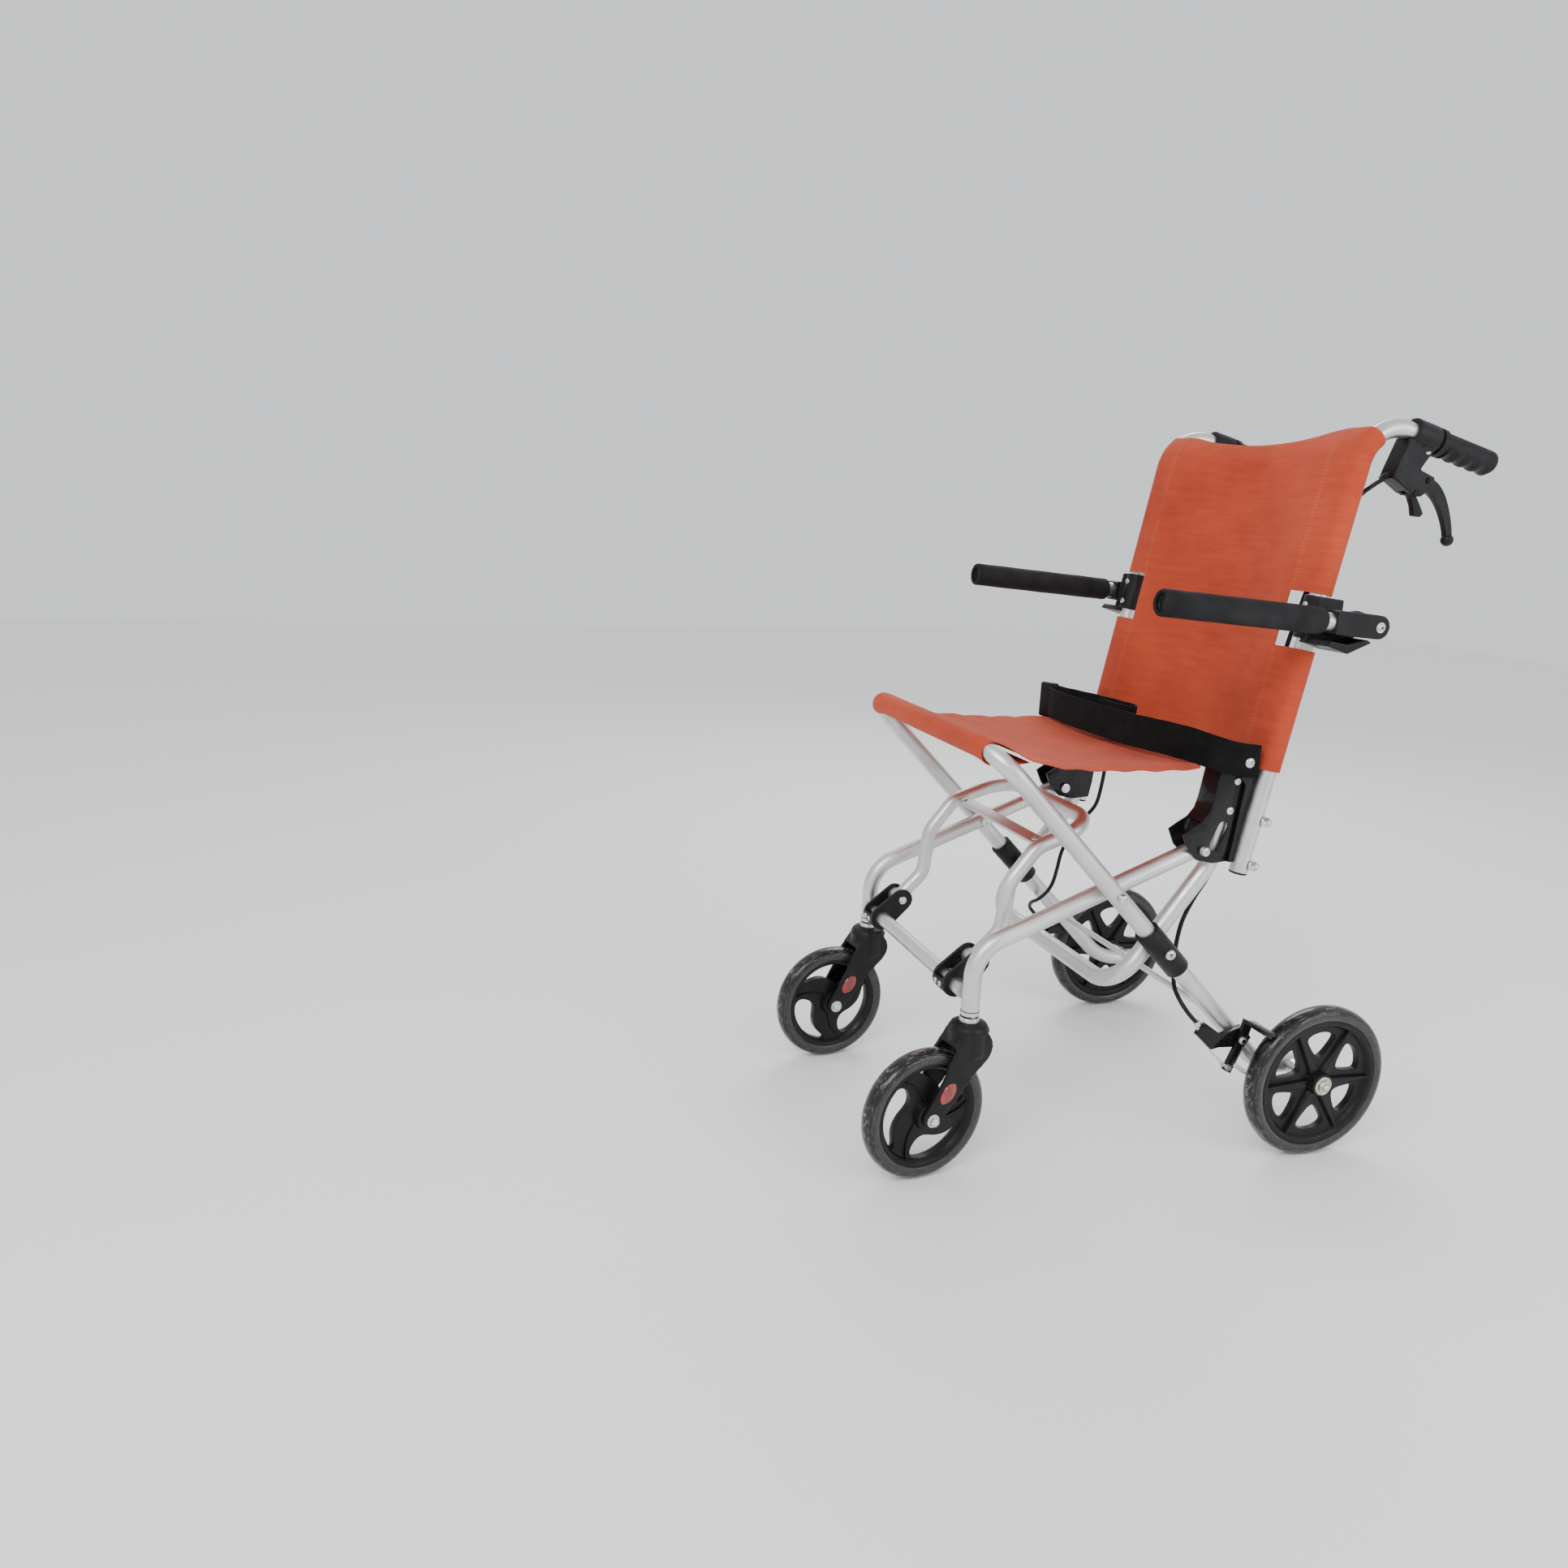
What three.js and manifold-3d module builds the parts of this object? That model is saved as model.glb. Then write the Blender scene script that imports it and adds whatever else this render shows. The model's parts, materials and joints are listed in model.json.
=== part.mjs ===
// Transport wheelchair: a light folding travel chair with scissor side frames, swivelling front casters,
// fixed rear wheels, flip-up armrests, a fold-back footrest and hand levers that pull the rear brakes.
// Millimetres. +X is the sitter's left, -Y the front of the chair, +Z up, the floor at z = 0.
import * as THREE from 'three';
import { mergeVertices } from 'three/addons/utils/BufferGeometryUtils.js';
import Module from 'manifold-3d';

const wasm = await Module();
wasm.setup();

// ---------------------------------------------------------------- driving dimensions
const GAP = 0.3;                  // clearance between touching pieces
const TUBE_R = 11;                // main frame tube, 22 mm outside
const THIN_TUBE_R = 9.5;          // cross tube and footrest tube, 19 mm outside
const TUBE_SIDES = 12;
const BORE_R = (TUBE_R + GAP) / Math.cos(Math.PI / TUBE_SIDES);  // a cutter that clears the frame tube

// distances of the side tubes from the middle plane
const REAR_FRAME_X = 190.5;
const FRONT_LEG_X = 167;
const SUPPORT_X = 163;
const BACK_X = 187;
const ARM_X = 228;
const FOOTREST_X = 119;
const REAR_WHEEL_X = 240;

// scissor geometry in the side view, as [y, z]
const CROSS_PIVOT = [-78.5, 345];
const REAR_SLOPE = THREE.MathUtils.degToRad(45.6);
const SLEEVE_REACH = 102;         // from the cross pivot down the rear frame tube to the sleeve pivot
const LEG_PIVOT_OFFSET = 120;     // leg pivot above the middle of that stretch, square to the tube
const DOWN = [Math.cos(REAR_SLOPE), -Math.sin(REAR_SLOPE)];
const ACROSS = [Math.sin(REAR_SLOPE), Math.cos(REAR_SLOPE)];
const SLEEVE_PIVOT = along(CROSS_PIVOT, DOWN, SLEEVE_REACH);
const LEG_PIVOT = along(along(CROSS_PIVOT, DOWN, SLEEVE_REACH / 2), ACROSS, LEG_PIVOT_OFFSET);

// wheels
const REAR_WHEEL_R = 100;
const REAR_AXLE = [205, REAR_WHEEL_R];
const CASTER_R = 82;
const CASTER_TRAIL = 56.6;
const STEM_Y = -248;
const CASTER_X = FRONT_LEG_X;
const CASTER_TURN = { L: 0.153, R: 0.112 };
const TYRE_HALF_WIDTH = 13;

// rear frame
const SEAT_BAR = [-252.6, CROSS_PIVOT[1] + Math.tan(REAR_SLOPE) * (CROSS_PIVOT[0] + 252.6)];
const TAIL_CORNER = [CROSS_PIVOT[0] + (CROSS_PIVOT[1] - REAR_AXLE[1]) / Math.tan(REAR_SLOPE), REAR_AXLE[1]];
const TAIL_END = [221, REAR_AXLE[1]];
const REAR_BAR_REACH = 234;       // from the cross pivot down to the flat rear bar

// back frame
const BACK_HINGE = [82, 504.5];
const BACK_FOOT = [92, 366];
const BACK_LEAN = 0.1853;         // rearward run for each unit of height
const HANDLE_DROP = 0.241;        // fall for each unit of run to the rear
const HANDLE_CORNER = [192.7, 909.6];
const HANDLE_END_Y = 366;
const GRIP_FROM_Y = 289;
const GRIP_TO_Y = 378;
const ARM_PIVOT = [200, 672];

// footrest
const CROSS_TUBE = [-253, 225];
const FOOTREST_PIVOT = [-225, 250];

const COLOURS = {
  aluminium: ['#c8c8c6', 0.34, 0.85],
  zinc: ['#d8d8d6', 0.3, 0.9],
  blackPlastic: ['#1b1b1d', 0.55, 0.0],
  glossBlack: ['#0d0d0e', 0.18, 0.1],
  foam: ['#2d2d2d', 0.85, 0.0],
  tyre: ['#3a3a3b', 0.35, 0.0],
  rim: ['#17171a', 0.5, 0.0],
  fabric: ['#c04c30', 0.8, 0.0],
  webbing: ['#141416', 0.9, 0.0],
};

// ---------------------------------------------------------------- small helpers
function along(point, direction, distance) {
  return [point[0] + direction[0] * distance, point[1] + direction[1] * distance];
}

function backAxisY(z) {
  return BACK_FOOT[0] + BACK_LEAN * (z - BACK_FOOT[1]);
}

function handleAxisZ(y) {
  return HANDLE_CORNER[1] - HANDLE_DROP * (y - HANDLE_CORNER[0]);
}

function at(x, [y, z]) {
  return new THREE.Vector3(x, y, z);
}

// A path of straight runs and round bends that places one tube ring at each end of every run and a few
// along each bend, instead of spacing the rings evenly.
class BentPath extends THREE.Curve {
  constructor(corners, bendRadii, bendSteps = 4) {
    super();
    this.stations = [corners[0]];
    for (let i = 1; i < corners.length - 1; i += 1) {
      this.addBend(corners[i - 1], corners[i], corners[i + 1], bendRadii[i - 1], bendSteps);
    }
    this.stations.push(corners[corners.length - 1]);
  }

  addBend(before, corner, after, radius, steps) {
    const back = before.clone().sub(corner).normalize();
    const ahead = after.clone().sub(corner).normalize();
    const half = Math.acos(THREE.MathUtils.clamp(back.dot(ahead), -1, 1)) / 2;
    const centreDistance = radius / Math.sin(half);
    const centre = back.clone().add(ahead).normalize().multiplyScalar(centreDistance).add(corner);
    const from = back.clone().multiplyScalar(radius / Math.tan(half)).add(corner).sub(centre);
    const to = ahead.clone().multiplyScalar(radius / Math.tan(half)).add(corner).sub(centre);
    const sweep = Math.PI - 2 * half;
    for (let i = 0; i <= steps; i += 1) {
      const t = (i / steps) * sweep;
      const a = Math.sin(sweep - t) / Math.sin(sweep);
      const b = Math.sin(t) / Math.sin(sweep);
      this.stations.push(from.clone().multiplyScalar(a).addScaledVector(to, b).add(centre));
    }
  }

  getPoint(t) {
    const place = t * (this.stations.length - 1);
    const i = Math.min(Math.floor(place), this.stations.length - 2);
    return this.stations[i].clone().lerp(this.stations[i + 1], place - i);
  }

  getPointAt(u) {
    return this.getPoint(u);
  }

  getTangentAt(u) {
    const last = this.stations.length - 1;
    const i = Math.round(u * last);
    const ahead = this.stations[Math.min(i + 1, last)];
    const behind = this.stations[Math.max(i - 1, 0)];
    const here = this.stations[i];
    const after = ahead.clone().sub(here).normalize();
    const before = here.clone().sub(behind).normalize();
    return after.add(before).normalize();
  }
}

function polygon(radius, sides) {
  const shape = new THREE.Shape();
  for (let i = 0; i < sides; i += 1) {
    const angle = (2 * Math.PI * (i + 0.5)) / sides;
    shape[i ? 'lineTo' : 'moveTo'](radius * Math.cos(angle), radius * Math.sin(angle));
  }
  return shape;
}

function bentTube(corners, bendRadii, radius = TUBE_R, bendSteps = 4, sides = TUBE_SIDES) {
  const path = new BentPath(corners, bendRadii, bendSteps);
  const options = { steps: path.stations.length - 1, extrudePath: path };
  return new THREE.ExtrudeGeometry(polygon(radius, sides), options);
}

// Turns a lathe or cylinder, made about +Y, so that its axis runs from one point to another.
function between(geometry, from, to) {
  const direction = to.clone().sub(from).normalize();
  const turn = new THREE.Quaternion().setFromUnitVectors(new THREE.Vector3(0, 1, 0), direction);
  return geometry.applyQuaternion(turn).translate(from.x, from.y, from.z);
}

function rod(from, to, radius, sides = TUBE_SIDES) {
  const length = from.distanceTo(to);
  const cylinder = new THREE.CylinderGeometry(radius, radius, length, sides).translate(0, length / 2, 0);
  return between(cylinder, from, to);
}

// A tool that cuts a hole: its flats, not its corners, are one radius from the axis.
function bore(from, to, radius, sides = TUBE_SIDES) {
  return rod(from, to, radius / Math.cos(Math.PI / sides), sides);
}

// A turned piece: profile points are [radius, distance along the axis].
function turned(profile, from, to, sides = 18) {
  const points = profile.map(([r, h]) => new THREE.Vector2(r, h));
  return between(new THREE.LatheGeometry(points, sides), from, to);
}

// A flat plate in the side view: outline points are [y, z], its faces at x0 and x1.
function sidePlate(outline, x0, x1) {
  const shape = new THREE.Shape(outline.map(([y, z]) => new THREE.Vector2(y, z)));
  return extrudeAlongX(shape, x0, x1);
}

function extrudeAlongX(shape, x0, x1) {
  const low = Math.min(x0, x1);
  const depth = Math.abs(x1 - x0);
  const geometry = new THREE.ExtrudeGeometry(shape, { depth, bevelEnabled: false, curveSegments: 2 });
  const turn = new THREE.Matrix4().makeBasis(
    new THREE.Vector3(0, 1, 0),
    new THREE.Vector3(0, 0, 1),
    new THREE.Vector3(1, 0, 0),
  );
  return geometry.applyMatrix4(turn).translate(low, 0, 0);
}

// The outline round a row of circles in the side view, each {centre: [y, z], radius}.
function hullOutline(circles, steps = 16) {
  const cloud = [];
  for (const { centre, radius } of circles) {
    for (let i = 0; i < steps; i += 1) {
      const angle = (2 * Math.PI * i) / steps;
      cloud.push([centre[0] + radius * Math.cos(angle), centre[1] + radius * Math.sin(angle)]);
    }
  }
  cloud.sort((p, q) => p[0] - q[0] || p[1] - q[1]);
  const turnsLeft = (a, b, c) => (b[0] - a[0]) * (c[1] - a[1]) - (b[1] - a[1]) * (c[0] - a[0]) > 1e-9;
  const chain = (points) => {
    const kept = [];
    for (const point of points) {
      while (kept.length > 1 && !turnsLeft(kept[kept.length - 2], kept[kept.length - 1], point)) {
        kept.pop();
      }
      kept.push(point);
    }
    kept.pop();
    return kept;
  };
  return [...chain(cloud), ...chain([...cloud].reverse())];
}

function toSolid(geometry) {
  const bare = geometry.clone();
  bare.deleteAttribute('normal');
  bare.deleteAttribute('uv');
  const merged = mergeVertices(bare, 1e-4);
  const index = merged.index.array;
  const mesh = {
    numProp: 3,
    vertProperties: merged.attributes.position.array,
    triVerts: new Uint32Array(index),
  };
  return new wasm.Manifold(new wasm.Mesh(mesh));
}

function toGeometry(solid) {
  const { vertProperties, triVerts } = solid.getMesh();
  const geometry = new THREE.BufferGeometry();
  geometry.setAttribute('position', new THREE.BufferAttribute(new Float32Array(vertProperties), 3));
  geometry.setIndex(new THREE.BufferAttribute(new Uint32Array(triVerts), 1));
  geometry.computeVertexNormals();
  return geometry;
}

function join(first, ...others) {
  return toGeometry(others.reduce((sum, other) => sum.add(toSolid(other)), toSolid(first)));
}

function cut(body, ...tools) {
  return toGeometry(tools.reduce((rest, tool) => rest.subtract(toSolid(tool)), toSolid(body)));
}

const wheelchair = new THREE.Group();

function add(name, geometry, finish, parent = wheelchair) {
  const [color, roughness, metalness] = COLOURS[finish];
  const mesh = new THREE.Mesh(geometry, new THREE.MeshStandardMaterial({ color, roughness, metalness }));
  mesh.name = name;
  parent.add(mesh);
  return mesh;
}

// ---------------------------------------------------------------- front frame
function addFrontFrame() {
  const bottom = [STEM_Y, 205];
  const direction = new THREE.Vector2(LEG_PIVOT[0] - CROSS_PIVOT[0], LEG_PIVOT[1] - CROSS_PIVOT[1]).normalize();
  const top = along(LEG_PIVOT, [direction.x, direction.y], 9);
  const slope = direction.y / direction.x;
  const knee = [STEM_Y, CROSS_PIVOT[1] + slope * (STEM_Y - CROSS_PIVOT[0])];
  for (const [side, sign] of [['L', 1], ['R', -1]]) {
    const x = sign * FRONT_LEG_X;
    const leg = bentTube([at(x, bottom), at(x, knee), at(x, top)], [50]);
    const pivotHole = bore(at(x - 20, LEG_PIVOT), at(x + 20, LEG_PIVOT), 4 + GAP);
    const crossHole = bore(at(x - 20, CROSS_PIVOT), at(x + 20, CROSS_PIVOT), 4 + GAP);
    add(`front_leg_${side}`, cut(leg, pivotHole, crossHole), 'aluminium');
    addFootrestHinge(side, sign);
  }
  const reach = FRONT_LEG_X - TUBE_R - GAP;
  add('front_cross_tube', rod(at(-reach, CROSS_TUBE), at(reach, CROSS_TUBE), THIN_TUBE_R), 'aluminium');
}

function addFootrestHinge(side, sign) {
  const plate = hullOutline([{ centre: CROSS_TUBE, radius: 17 }, { centre: FOOTREST_PIVOT, radius: 15 }]);
  const halfGap = THIN_TUBE_R + 1.5;
  const thickness = 5;
  const x = sign * FOOTREST_X;
  const outer = sidePlate(plate, x - halfGap - thickness, x + halfGap + thickness);
  const slotLevel = CROSS_TUBE[1] + 4;
  const slot = new THREE.BoxGeometry(2 * halfGap, 90, 60).translate(x, CROSS_TUBE[0], slotLevel + 30);
  const slant = new THREE.BoxGeometry(2 * halfGap, 60, 60)
    .rotateX(Math.PI / 4)
    .translate(x, CROSS_TUBE[0] + 40, CROSS_TUBE[1] + 36);
  const tubeHole = bore(at(x - 30, CROSS_TUBE), at(x + 30, CROSS_TUBE), THIN_TUBE_R + GAP);
  const pinHole = bore(at(x - 30, FOOTREST_PIVOT), at(x + 30, FOOTREST_PIVOT), 4 + GAP);
  add(`footrest_hinge_${side}`, cut(outer, slot, slant, tubeHole, pinHole), 'blackPlastic');
}

// ---------------------------------------------------------------- rear frame
function addRearFrame() {
  const x = REAR_FRAME_X;
  const hoop = bentTube(
    [at(x, TAIL_END), at(x, TAIL_CORNER), at(x, SEAT_BAR), at(-x, SEAT_BAR), at(-x, TAIL_CORNER),
      at(-x, TAIL_END)],
    [80, 48, 48, 80],
  );
  const holes = [x, -x].map((h) => bore(at(h - 20, CROSS_PIVOT), at(h + 20, CROSS_PIVOT), 4 + GAP));
  add('seat_frame_hoop', cut(hoop, ...holes), 'aluminium');

  const barMiddle = along(CROSS_PIVOT, DOWN, REAR_BAR_REACH);
  const barReach = REAR_FRAME_X - TUBE_R - GAP;
  const bar = new THREE.BoxGeometry(2 * barReach, 16, 5).rotateX(-REAR_SLOPE).translate(0, ...barMiddle);
  add('rear_cross_bar', bar, 'aluminium');

  for (const [side, sign] of [['L', 1], ['R', -1]]) {
    addCrossPivotBolt(side, sign);
    addRearAxle(side, sign);
    addRearWheel(side, sign);
    addBrakeBracket(side, sign);
    addBrakeArm(side, sign);
  }
}

function addCrossPivotBolt(side, sign) {
  const inner = FRONT_LEG_X - TUBE_R - 5;
  const length = REAR_FRAME_X + TUBE_R - inner;
  const profile = [
    [0, 0], [7, 0], [7, 4.5], [4, 4.5], [4, length + GAP], [7, length + GAP], [6, length + 4], [0, length + 5],
  ];
  const bolt = turned(profile, at(sign * inner, CROSS_PIVOT), at(sign * 300, CROSS_PIVOT), 16);
  add(`cross_pivot_bolt_${side}`, bolt, 'zinc');
}

function addRearAxle(side, sign) {
  const start = REAR_FRAME_X + TUBE_R + GAP;
  const hubInner = REAR_WHEEL_X - 18;
  const hubOuter = REAR_WHEEL_X + 18;
  const profile = [
    [0, 0], [11, 0], [11, hubInner - GAP - start], [6, hubInner - GAP - start],
    [6, hubOuter + GAP - start], [7.5, hubOuter + GAP - start], [7.5, hubOuter + 2 - start],
    [5.5, hubOuter + 2 - start], [5.5, hubOuter + 7 - start], [0, hubOuter + 9 - start],
  ];
  add(`rear_axle_${side}`, turned(profile, at(sign * start, REAR_AXLE), at(sign * 300, REAR_AXLE), 18), 'zinc');
}

// A tyre: a ring with a rounded tread, about the line from one side to the other.
const WHEEL_SIDES = 24;
function tyreRing(outer, inner, halfWidth, from, to) {
  const shoulder = halfWidth * 0.72;
  const profile = [
    [inner, -halfWidth * 0.86], [outer - 10, -halfWidth], [outer - 3, -shoulder], [outer, -halfWidth * 0.25],
    [outer, halfWidth * 0.25], [outer - 3, shoulder], [outer - 10, halfWidth], [inner, halfWidth * 0.86],
    [inner, -halfWidth * 0.86],
  ];
  return turned(profile, from, to, WHEEL_SIDES);
}

// A moulded rim with a bored hub, a thin web and a raised ring under the tyre.
function rimBlank({ outer, ringInner, ringHalf, webHalf, hub, hubHalf, bore }, from, to) {
  const profile = [
    [bore, -hubHalf], [hub, -hubHalf], [hub, -webHalf], [ringInner, -webHalf], [ringInner + 1, -ringHalf],
    [outer, -ringHalf], [outer, ringHalf], [ringInner + 1, ringHalf], [ringInner, webHalf], [hub, webHalf],
    [hub, hubHalf], [bore, hubHalf], [bore, -hubHalf],
  ];
  return turned(profile, from, to, WHEEL_SIDES);
}

// A rounded opening between two spokes, before it is turned into place: [angle, radius] corner list.
function openingShape(corners) {
  const shape = new THREE.Shape();
  const points = corners.map(([angle, radius]) => [radius * Math.cos(angle), radius * Math.sin(angle)]);
  const middle = (i) => {
    const a = points[i % points.length];
    const b = points[(i + 1) % points.length];
    return [(a[0] + b[0]) / 2, (a[1] + b[1]) / 2];
  };
  shape.moveTo(...middle(points.length - 1));
  points.forEach((point, i) => shape.quadraticCurveTo(...point, ...middle(i)));
  return shape;
}

// The spokes of a rear wheel lie between six even openings.
function rearOpening() {
  return [[-0.12, 33], [-0.33, 50], [-0.37, 65], [0, 69], [0.37, 65], [0.33, 50], [0.12, 33]];
}

// A front wheel's three openings are curved drops, and each wheel has stopped at its own angle.
const CASTER_SPIN = { L: 0.52, R: 1.22 };
function casterOpening() {
  return [[-0.15, 28], [0.15, 28], [0.5, 36], [0.85, 46], [1.3, 56], [1.15, 59], [0.7, 59.2], [0.2, 59.2],
    [-0.22, 58.5], [-0.4, 50], [-0.36, 35]];
}

function addRearWheel(side, sign) {
  const from = new THREE.Vector3(0, 0, 0);
  const to = new THREE.Vector3(1, 0, 0);
  const wheel = new THREE.Group();
  wheel.position.set(sign * REAR_WHEEL_X, ...REAR_AXLE);
  wheelchair.add(wheel);
  const tyre = tyreRing(REAR_WHEEL_R, 84 + GAP, TYRE_HALF_WIDTH, from, to);
  add(`rear_tyre_${side}`, tyre, 'tyre', wheel);
  const size = { outer: 84, ringInner: 76, ringHalf: 11, webHalf: 5, hub: 15, hubHalf: 18, bore: 6 + GAP };
  const openings = [];
  for (let i = 0; i < 6; i += 1) {
    openings.push(extrudeAlongX(openingShape(rearOpening()), -20, 20).rotateX(((i + 0.5) * Math.PI) / 3));
  }
  add(`rear_rim_${side}`, cut(rimBlank(size, from, to), ...openings), 'rim', wheel);
}

// The brake bracket: a plate on the tube's outer face with a bent arm that holds the cable's ferrule.
const BRAKE_PIVOT = [109, 152];
const BRAKE_PLATE_X = 207;
const BRAKE_ARM_X = 213;
function addBrakeBracket(side, sign) {
  const inner = sign * (REAR_FRAME_X + TUBE_R + GAP);
  const outer = sign * (BRAKE_PLATE_X + 3);
  const plate = sidePlate([[80, 158], [112, 168], [126, 152], [118, 140], [78, 143]], inner, outer);
  const lug = sidePlate([[50, 172], [58, 176], [84, 158], [80, 143], [68, 141], [46, 162]], inner, outer);
  const ferruleHole = bore(at(sign * 205, [40, 178]), at(sign * 205, [70, 148]), 3.5);
  const pivotHole = bore(at(sign * 195, BRAKE_PIVOT), at(sign * 220, BRAKE_PIVOT), 3 + GAP);
  add(`brake_bracket_${side}`, cut(join(plate, lug), ferruleHole, pivotHole), 'blackPlastic');
}

function addBrakeArm(side, sign) {
  const inner = sign * (BRAKE_ARM_X - 2.4);
  const outer = sign * (BRAKE_ARM_X + 2.4);
  const arm = sidePlate([[110, 180], [122, 174], [116, 150], [98, 108], [87, 114], [103, 152]], inner, outer);
  const pad = sidePlate([[110, 180], [126, 176], [125, 172], [109, 175]], outer - sign, sign * 252);
  const pin = rod(at(sign * 203, BRAKE_PIVOT), at(sign * 219, BRAKE_PIVOT), 3);
  add(`brake_arm_${side}`, join(arm, pad, pin), 'blackPlastic');
}

// ---------------------------------------------------------------- front casters
function addCaster(side, sign) {
  const caster = new THREE.Group();
  caster.position.set(sign * CASTER_X, STEM_Y, 0);
  caster.rotation.z = CASTER_TURN[side];
  wheelchair.add(caster);
  const axle = [-CASTER_TRAIL, CASTER_R];
  const yoke = hullOutline([{ centre: [0, 163], radius: 23 }, { centre: [-20, 140], radius: 20 }]);
  const blade = hullOutline([{ centre: [-18, 138], radius: 18 }, { centre: axle, radius: 12 }]);
  const shell = join(sidePlate(yoke, -22, 22), sidePlate(blade, -22, 22));
  const capProfile = [[0, 150], [24.5, 152], [24.5, 183], [22, 188.5], [14, 191.5], [0, 191.5]];
  const cap = turned(capProfile, at(0, [0, 0]), at(0, [0, 300]));
  const ring = turned([[0, 185], [11, 185], [11, 205 - GAP], [0, 205 - GAP]], at(0, [0, 0]), at(0, [0, 300]));
  const slotHalf = TYRE_HALF_WIDTH + 3.5;
  const slot = rod(at(-slotHalf, axle), at(slotHalf, axle), CASTER_R + 6, 28);
  const hole = bore(at(-30, axle), at(30, axle), 4 + GAP);
  add(`caster_fork_${side}`, cut(join(shell, cap, ring), slot, hole), 'blackPlastic', caster);

  const bolt = [[0, 0], [7, 0], [7, 3], [4, 3], [4, 51 + 2 * GAP], [7, 51 + 2 * GAP], [6, 55], [0, 56]];
  const start = -22 - 3 - GAP;
  const axleBolt = turned(bolt.map(([r, h]) => [r, h && h > 3 ? h - 4 : h]), at(start, axle), at(60, axle), 14);
  add(`caster_axle_${side}`, axleBolt, 'zinc', caster);

  const tyre = tyreRing(CASTER_R, 66 + GAP, TYRE_HALF_WIDTH, at(0, axle), at(1, axle));
  add(`caster_tyre_${side}`, tyre, 'tyre', caster);
  const size = { outer: 66, ringInner: 60, ringHalf: 11, webHalf: 5, hub: 16, hubHalf: 15.5, bore: 4 + GAP };
  const openings = [];
  for (let i = 0; i < 3; i += 1) {
    const opening = extrudeAlongX(openingShape(casterOpening()), -20, 20);
    openings.push(opening.rotateX(CASTER_SPIN[side] + (i * 2 * Math.PI) / 3).translate(0, ...axle));
  }
  add(`caster_rim_${side}`, cut(rimBlank(size, at(0, axle), at(1, axle)), ...openings), 'rim', caster);
}

// ---------------------------------------------------------------- support frame
const SUPPORT_FOOT = [-50.9, 214];
const SUPPORT_BEND = [67.4, 371];
const SUPPORT_TOP = [76, 447];
const BRACKET_INNER_X = SUPPORT_X - TUBE_R - GAP;
const BRACKET_OUTER_X = FRONT_LEG_X + TUBE_R + GAP;
function addSupportFrame() {
  const x = SUPPORT_X;
  const hoop = bentTube(
    [at(x, SUPPORT_TOP), at(x, SUPPORT_BEND), at(x, SUPPORT_FOOT), at(-x, SUPPORT_FOOT), at(-x, SUPPORT_BEND),
      at(-x, SUPPORT_TOP)],
    [60, 46, 46, 60],
  );
  add('support_hoop', hoop, 'aluminium');
  for (const [side, sign] of [['L', 1], ['R', -1]]) {
    addSideBracket(side, sign);
    addLegPivotBolt(side, sign);
    addSlideSleeve(side, sign);
  }
}

// A boot-shaped gusset: two plates joined along the front edge by a folded web.
function addSideBracket(side, sign) {
  const thickness = 2.5;
  const outline = [
    [11, 414], [22, 421], [36, 429], [45, 440], [49, 455], [53, 480], [57, 508], [66, 519], [84, 522],
    [96, 517], [97, 490], [92, 450], [88, 400], [84, 378], [58, 376], [34, 381], [20, 395],
  ];
  const shoulder = outline.slice(2, 9);
  const web = [...shoulder, ...shoulder.map(([y, z]) => [y + 2.2, z - 2.6]).reverse()];
  const inner = BRACKET_INNER_X;
  const outer = BRACKET_OUTER_X;
  const plates = join(
    sidePlate(outline, sign * (inner - thickness), sign * inner),
    sidePlate(outline, sign * outer, sign * (outer + thickness)),
    sidePlate(web, sign * (inner - thickness), sign * (outer + thickness)),
  );
  const slot = hullOutline([{ centre: [57, 399], radius: 7 }, { centre: [67, 422], radius: 7 }], 12);
  const window = sidePlate(slot, sign * (outer - 1), sign * (outer + thickness + 1));
  const holes = [LEG_PIVOT, BACK_HINGE].map((p) => bore(at(sign * 130, p), at(sign * 200, p), 4 + GAP));
  add(`side_bracket_${side}`, cut(plates, window, ...holes), 'glossBlack');
}

function pivotBolt(sign, inner, outer, place) {
  const length = outer - inner;
  const profile = [
    [0, -4], [7, -4], [7, -GAP], [4, -GAP], [4, length + GAP], [7, length + GAP], [5.5, length + 4],
    [0, length + 4.6],
  ];
  return turned(profile, at(sign * inner, place), at(sign * 300, place), 14);
}

function addLegPivotBolt(side, sign) {
  const bolt = pivotBolt(sign, BRACKET_INNER_X - 2.5, BRACKET_OUTER_X + 2.5, LEG_PIVOT);
  add(`leg_pivot_bolt_${side}`, bolt, 'zinc');
}

// The sleeve that slides on the rear frame tube and turns on the support hoop.
function addSlideSleeve(side, sign) {
  const halfLength = 36;
  const top = along(SLEEVE_PIVOT, DOWN, -halfLength);
  const bottom = along(SLEEVE_PIVOT, DOWN, halfLength);
  const x = sign * REAR_FRAME_X;
  const body = rod(at(x, top), at(x, bottom), 15.5, 20);
  const tunnel = bore(at(x, along(top, DOWN, -5)), at(x, along(bottom, DOWN, 5)), TUBE_R + GAP);
  const inboard = SUPPORT_X + TUBE_R + 0.6;
  const flat = new THREE.BoxGeometry(40, 200, 200).translate(sign * (inboard - 20), ...SLEEVE_PIVOT);
  const head = turned([[0, 0], [7.5, 0], [6, 4], [0, 5]], at(sign * (REAR_FRAME_X + 15), SLEEVE_PIVOT),
    at(sign * 300, SLEEVE_PIVOT), 14);
  add(`slide_sleeve_${side}`, join(cut(body, tunnel, flat), head), 'blackPlastic');
}

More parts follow.
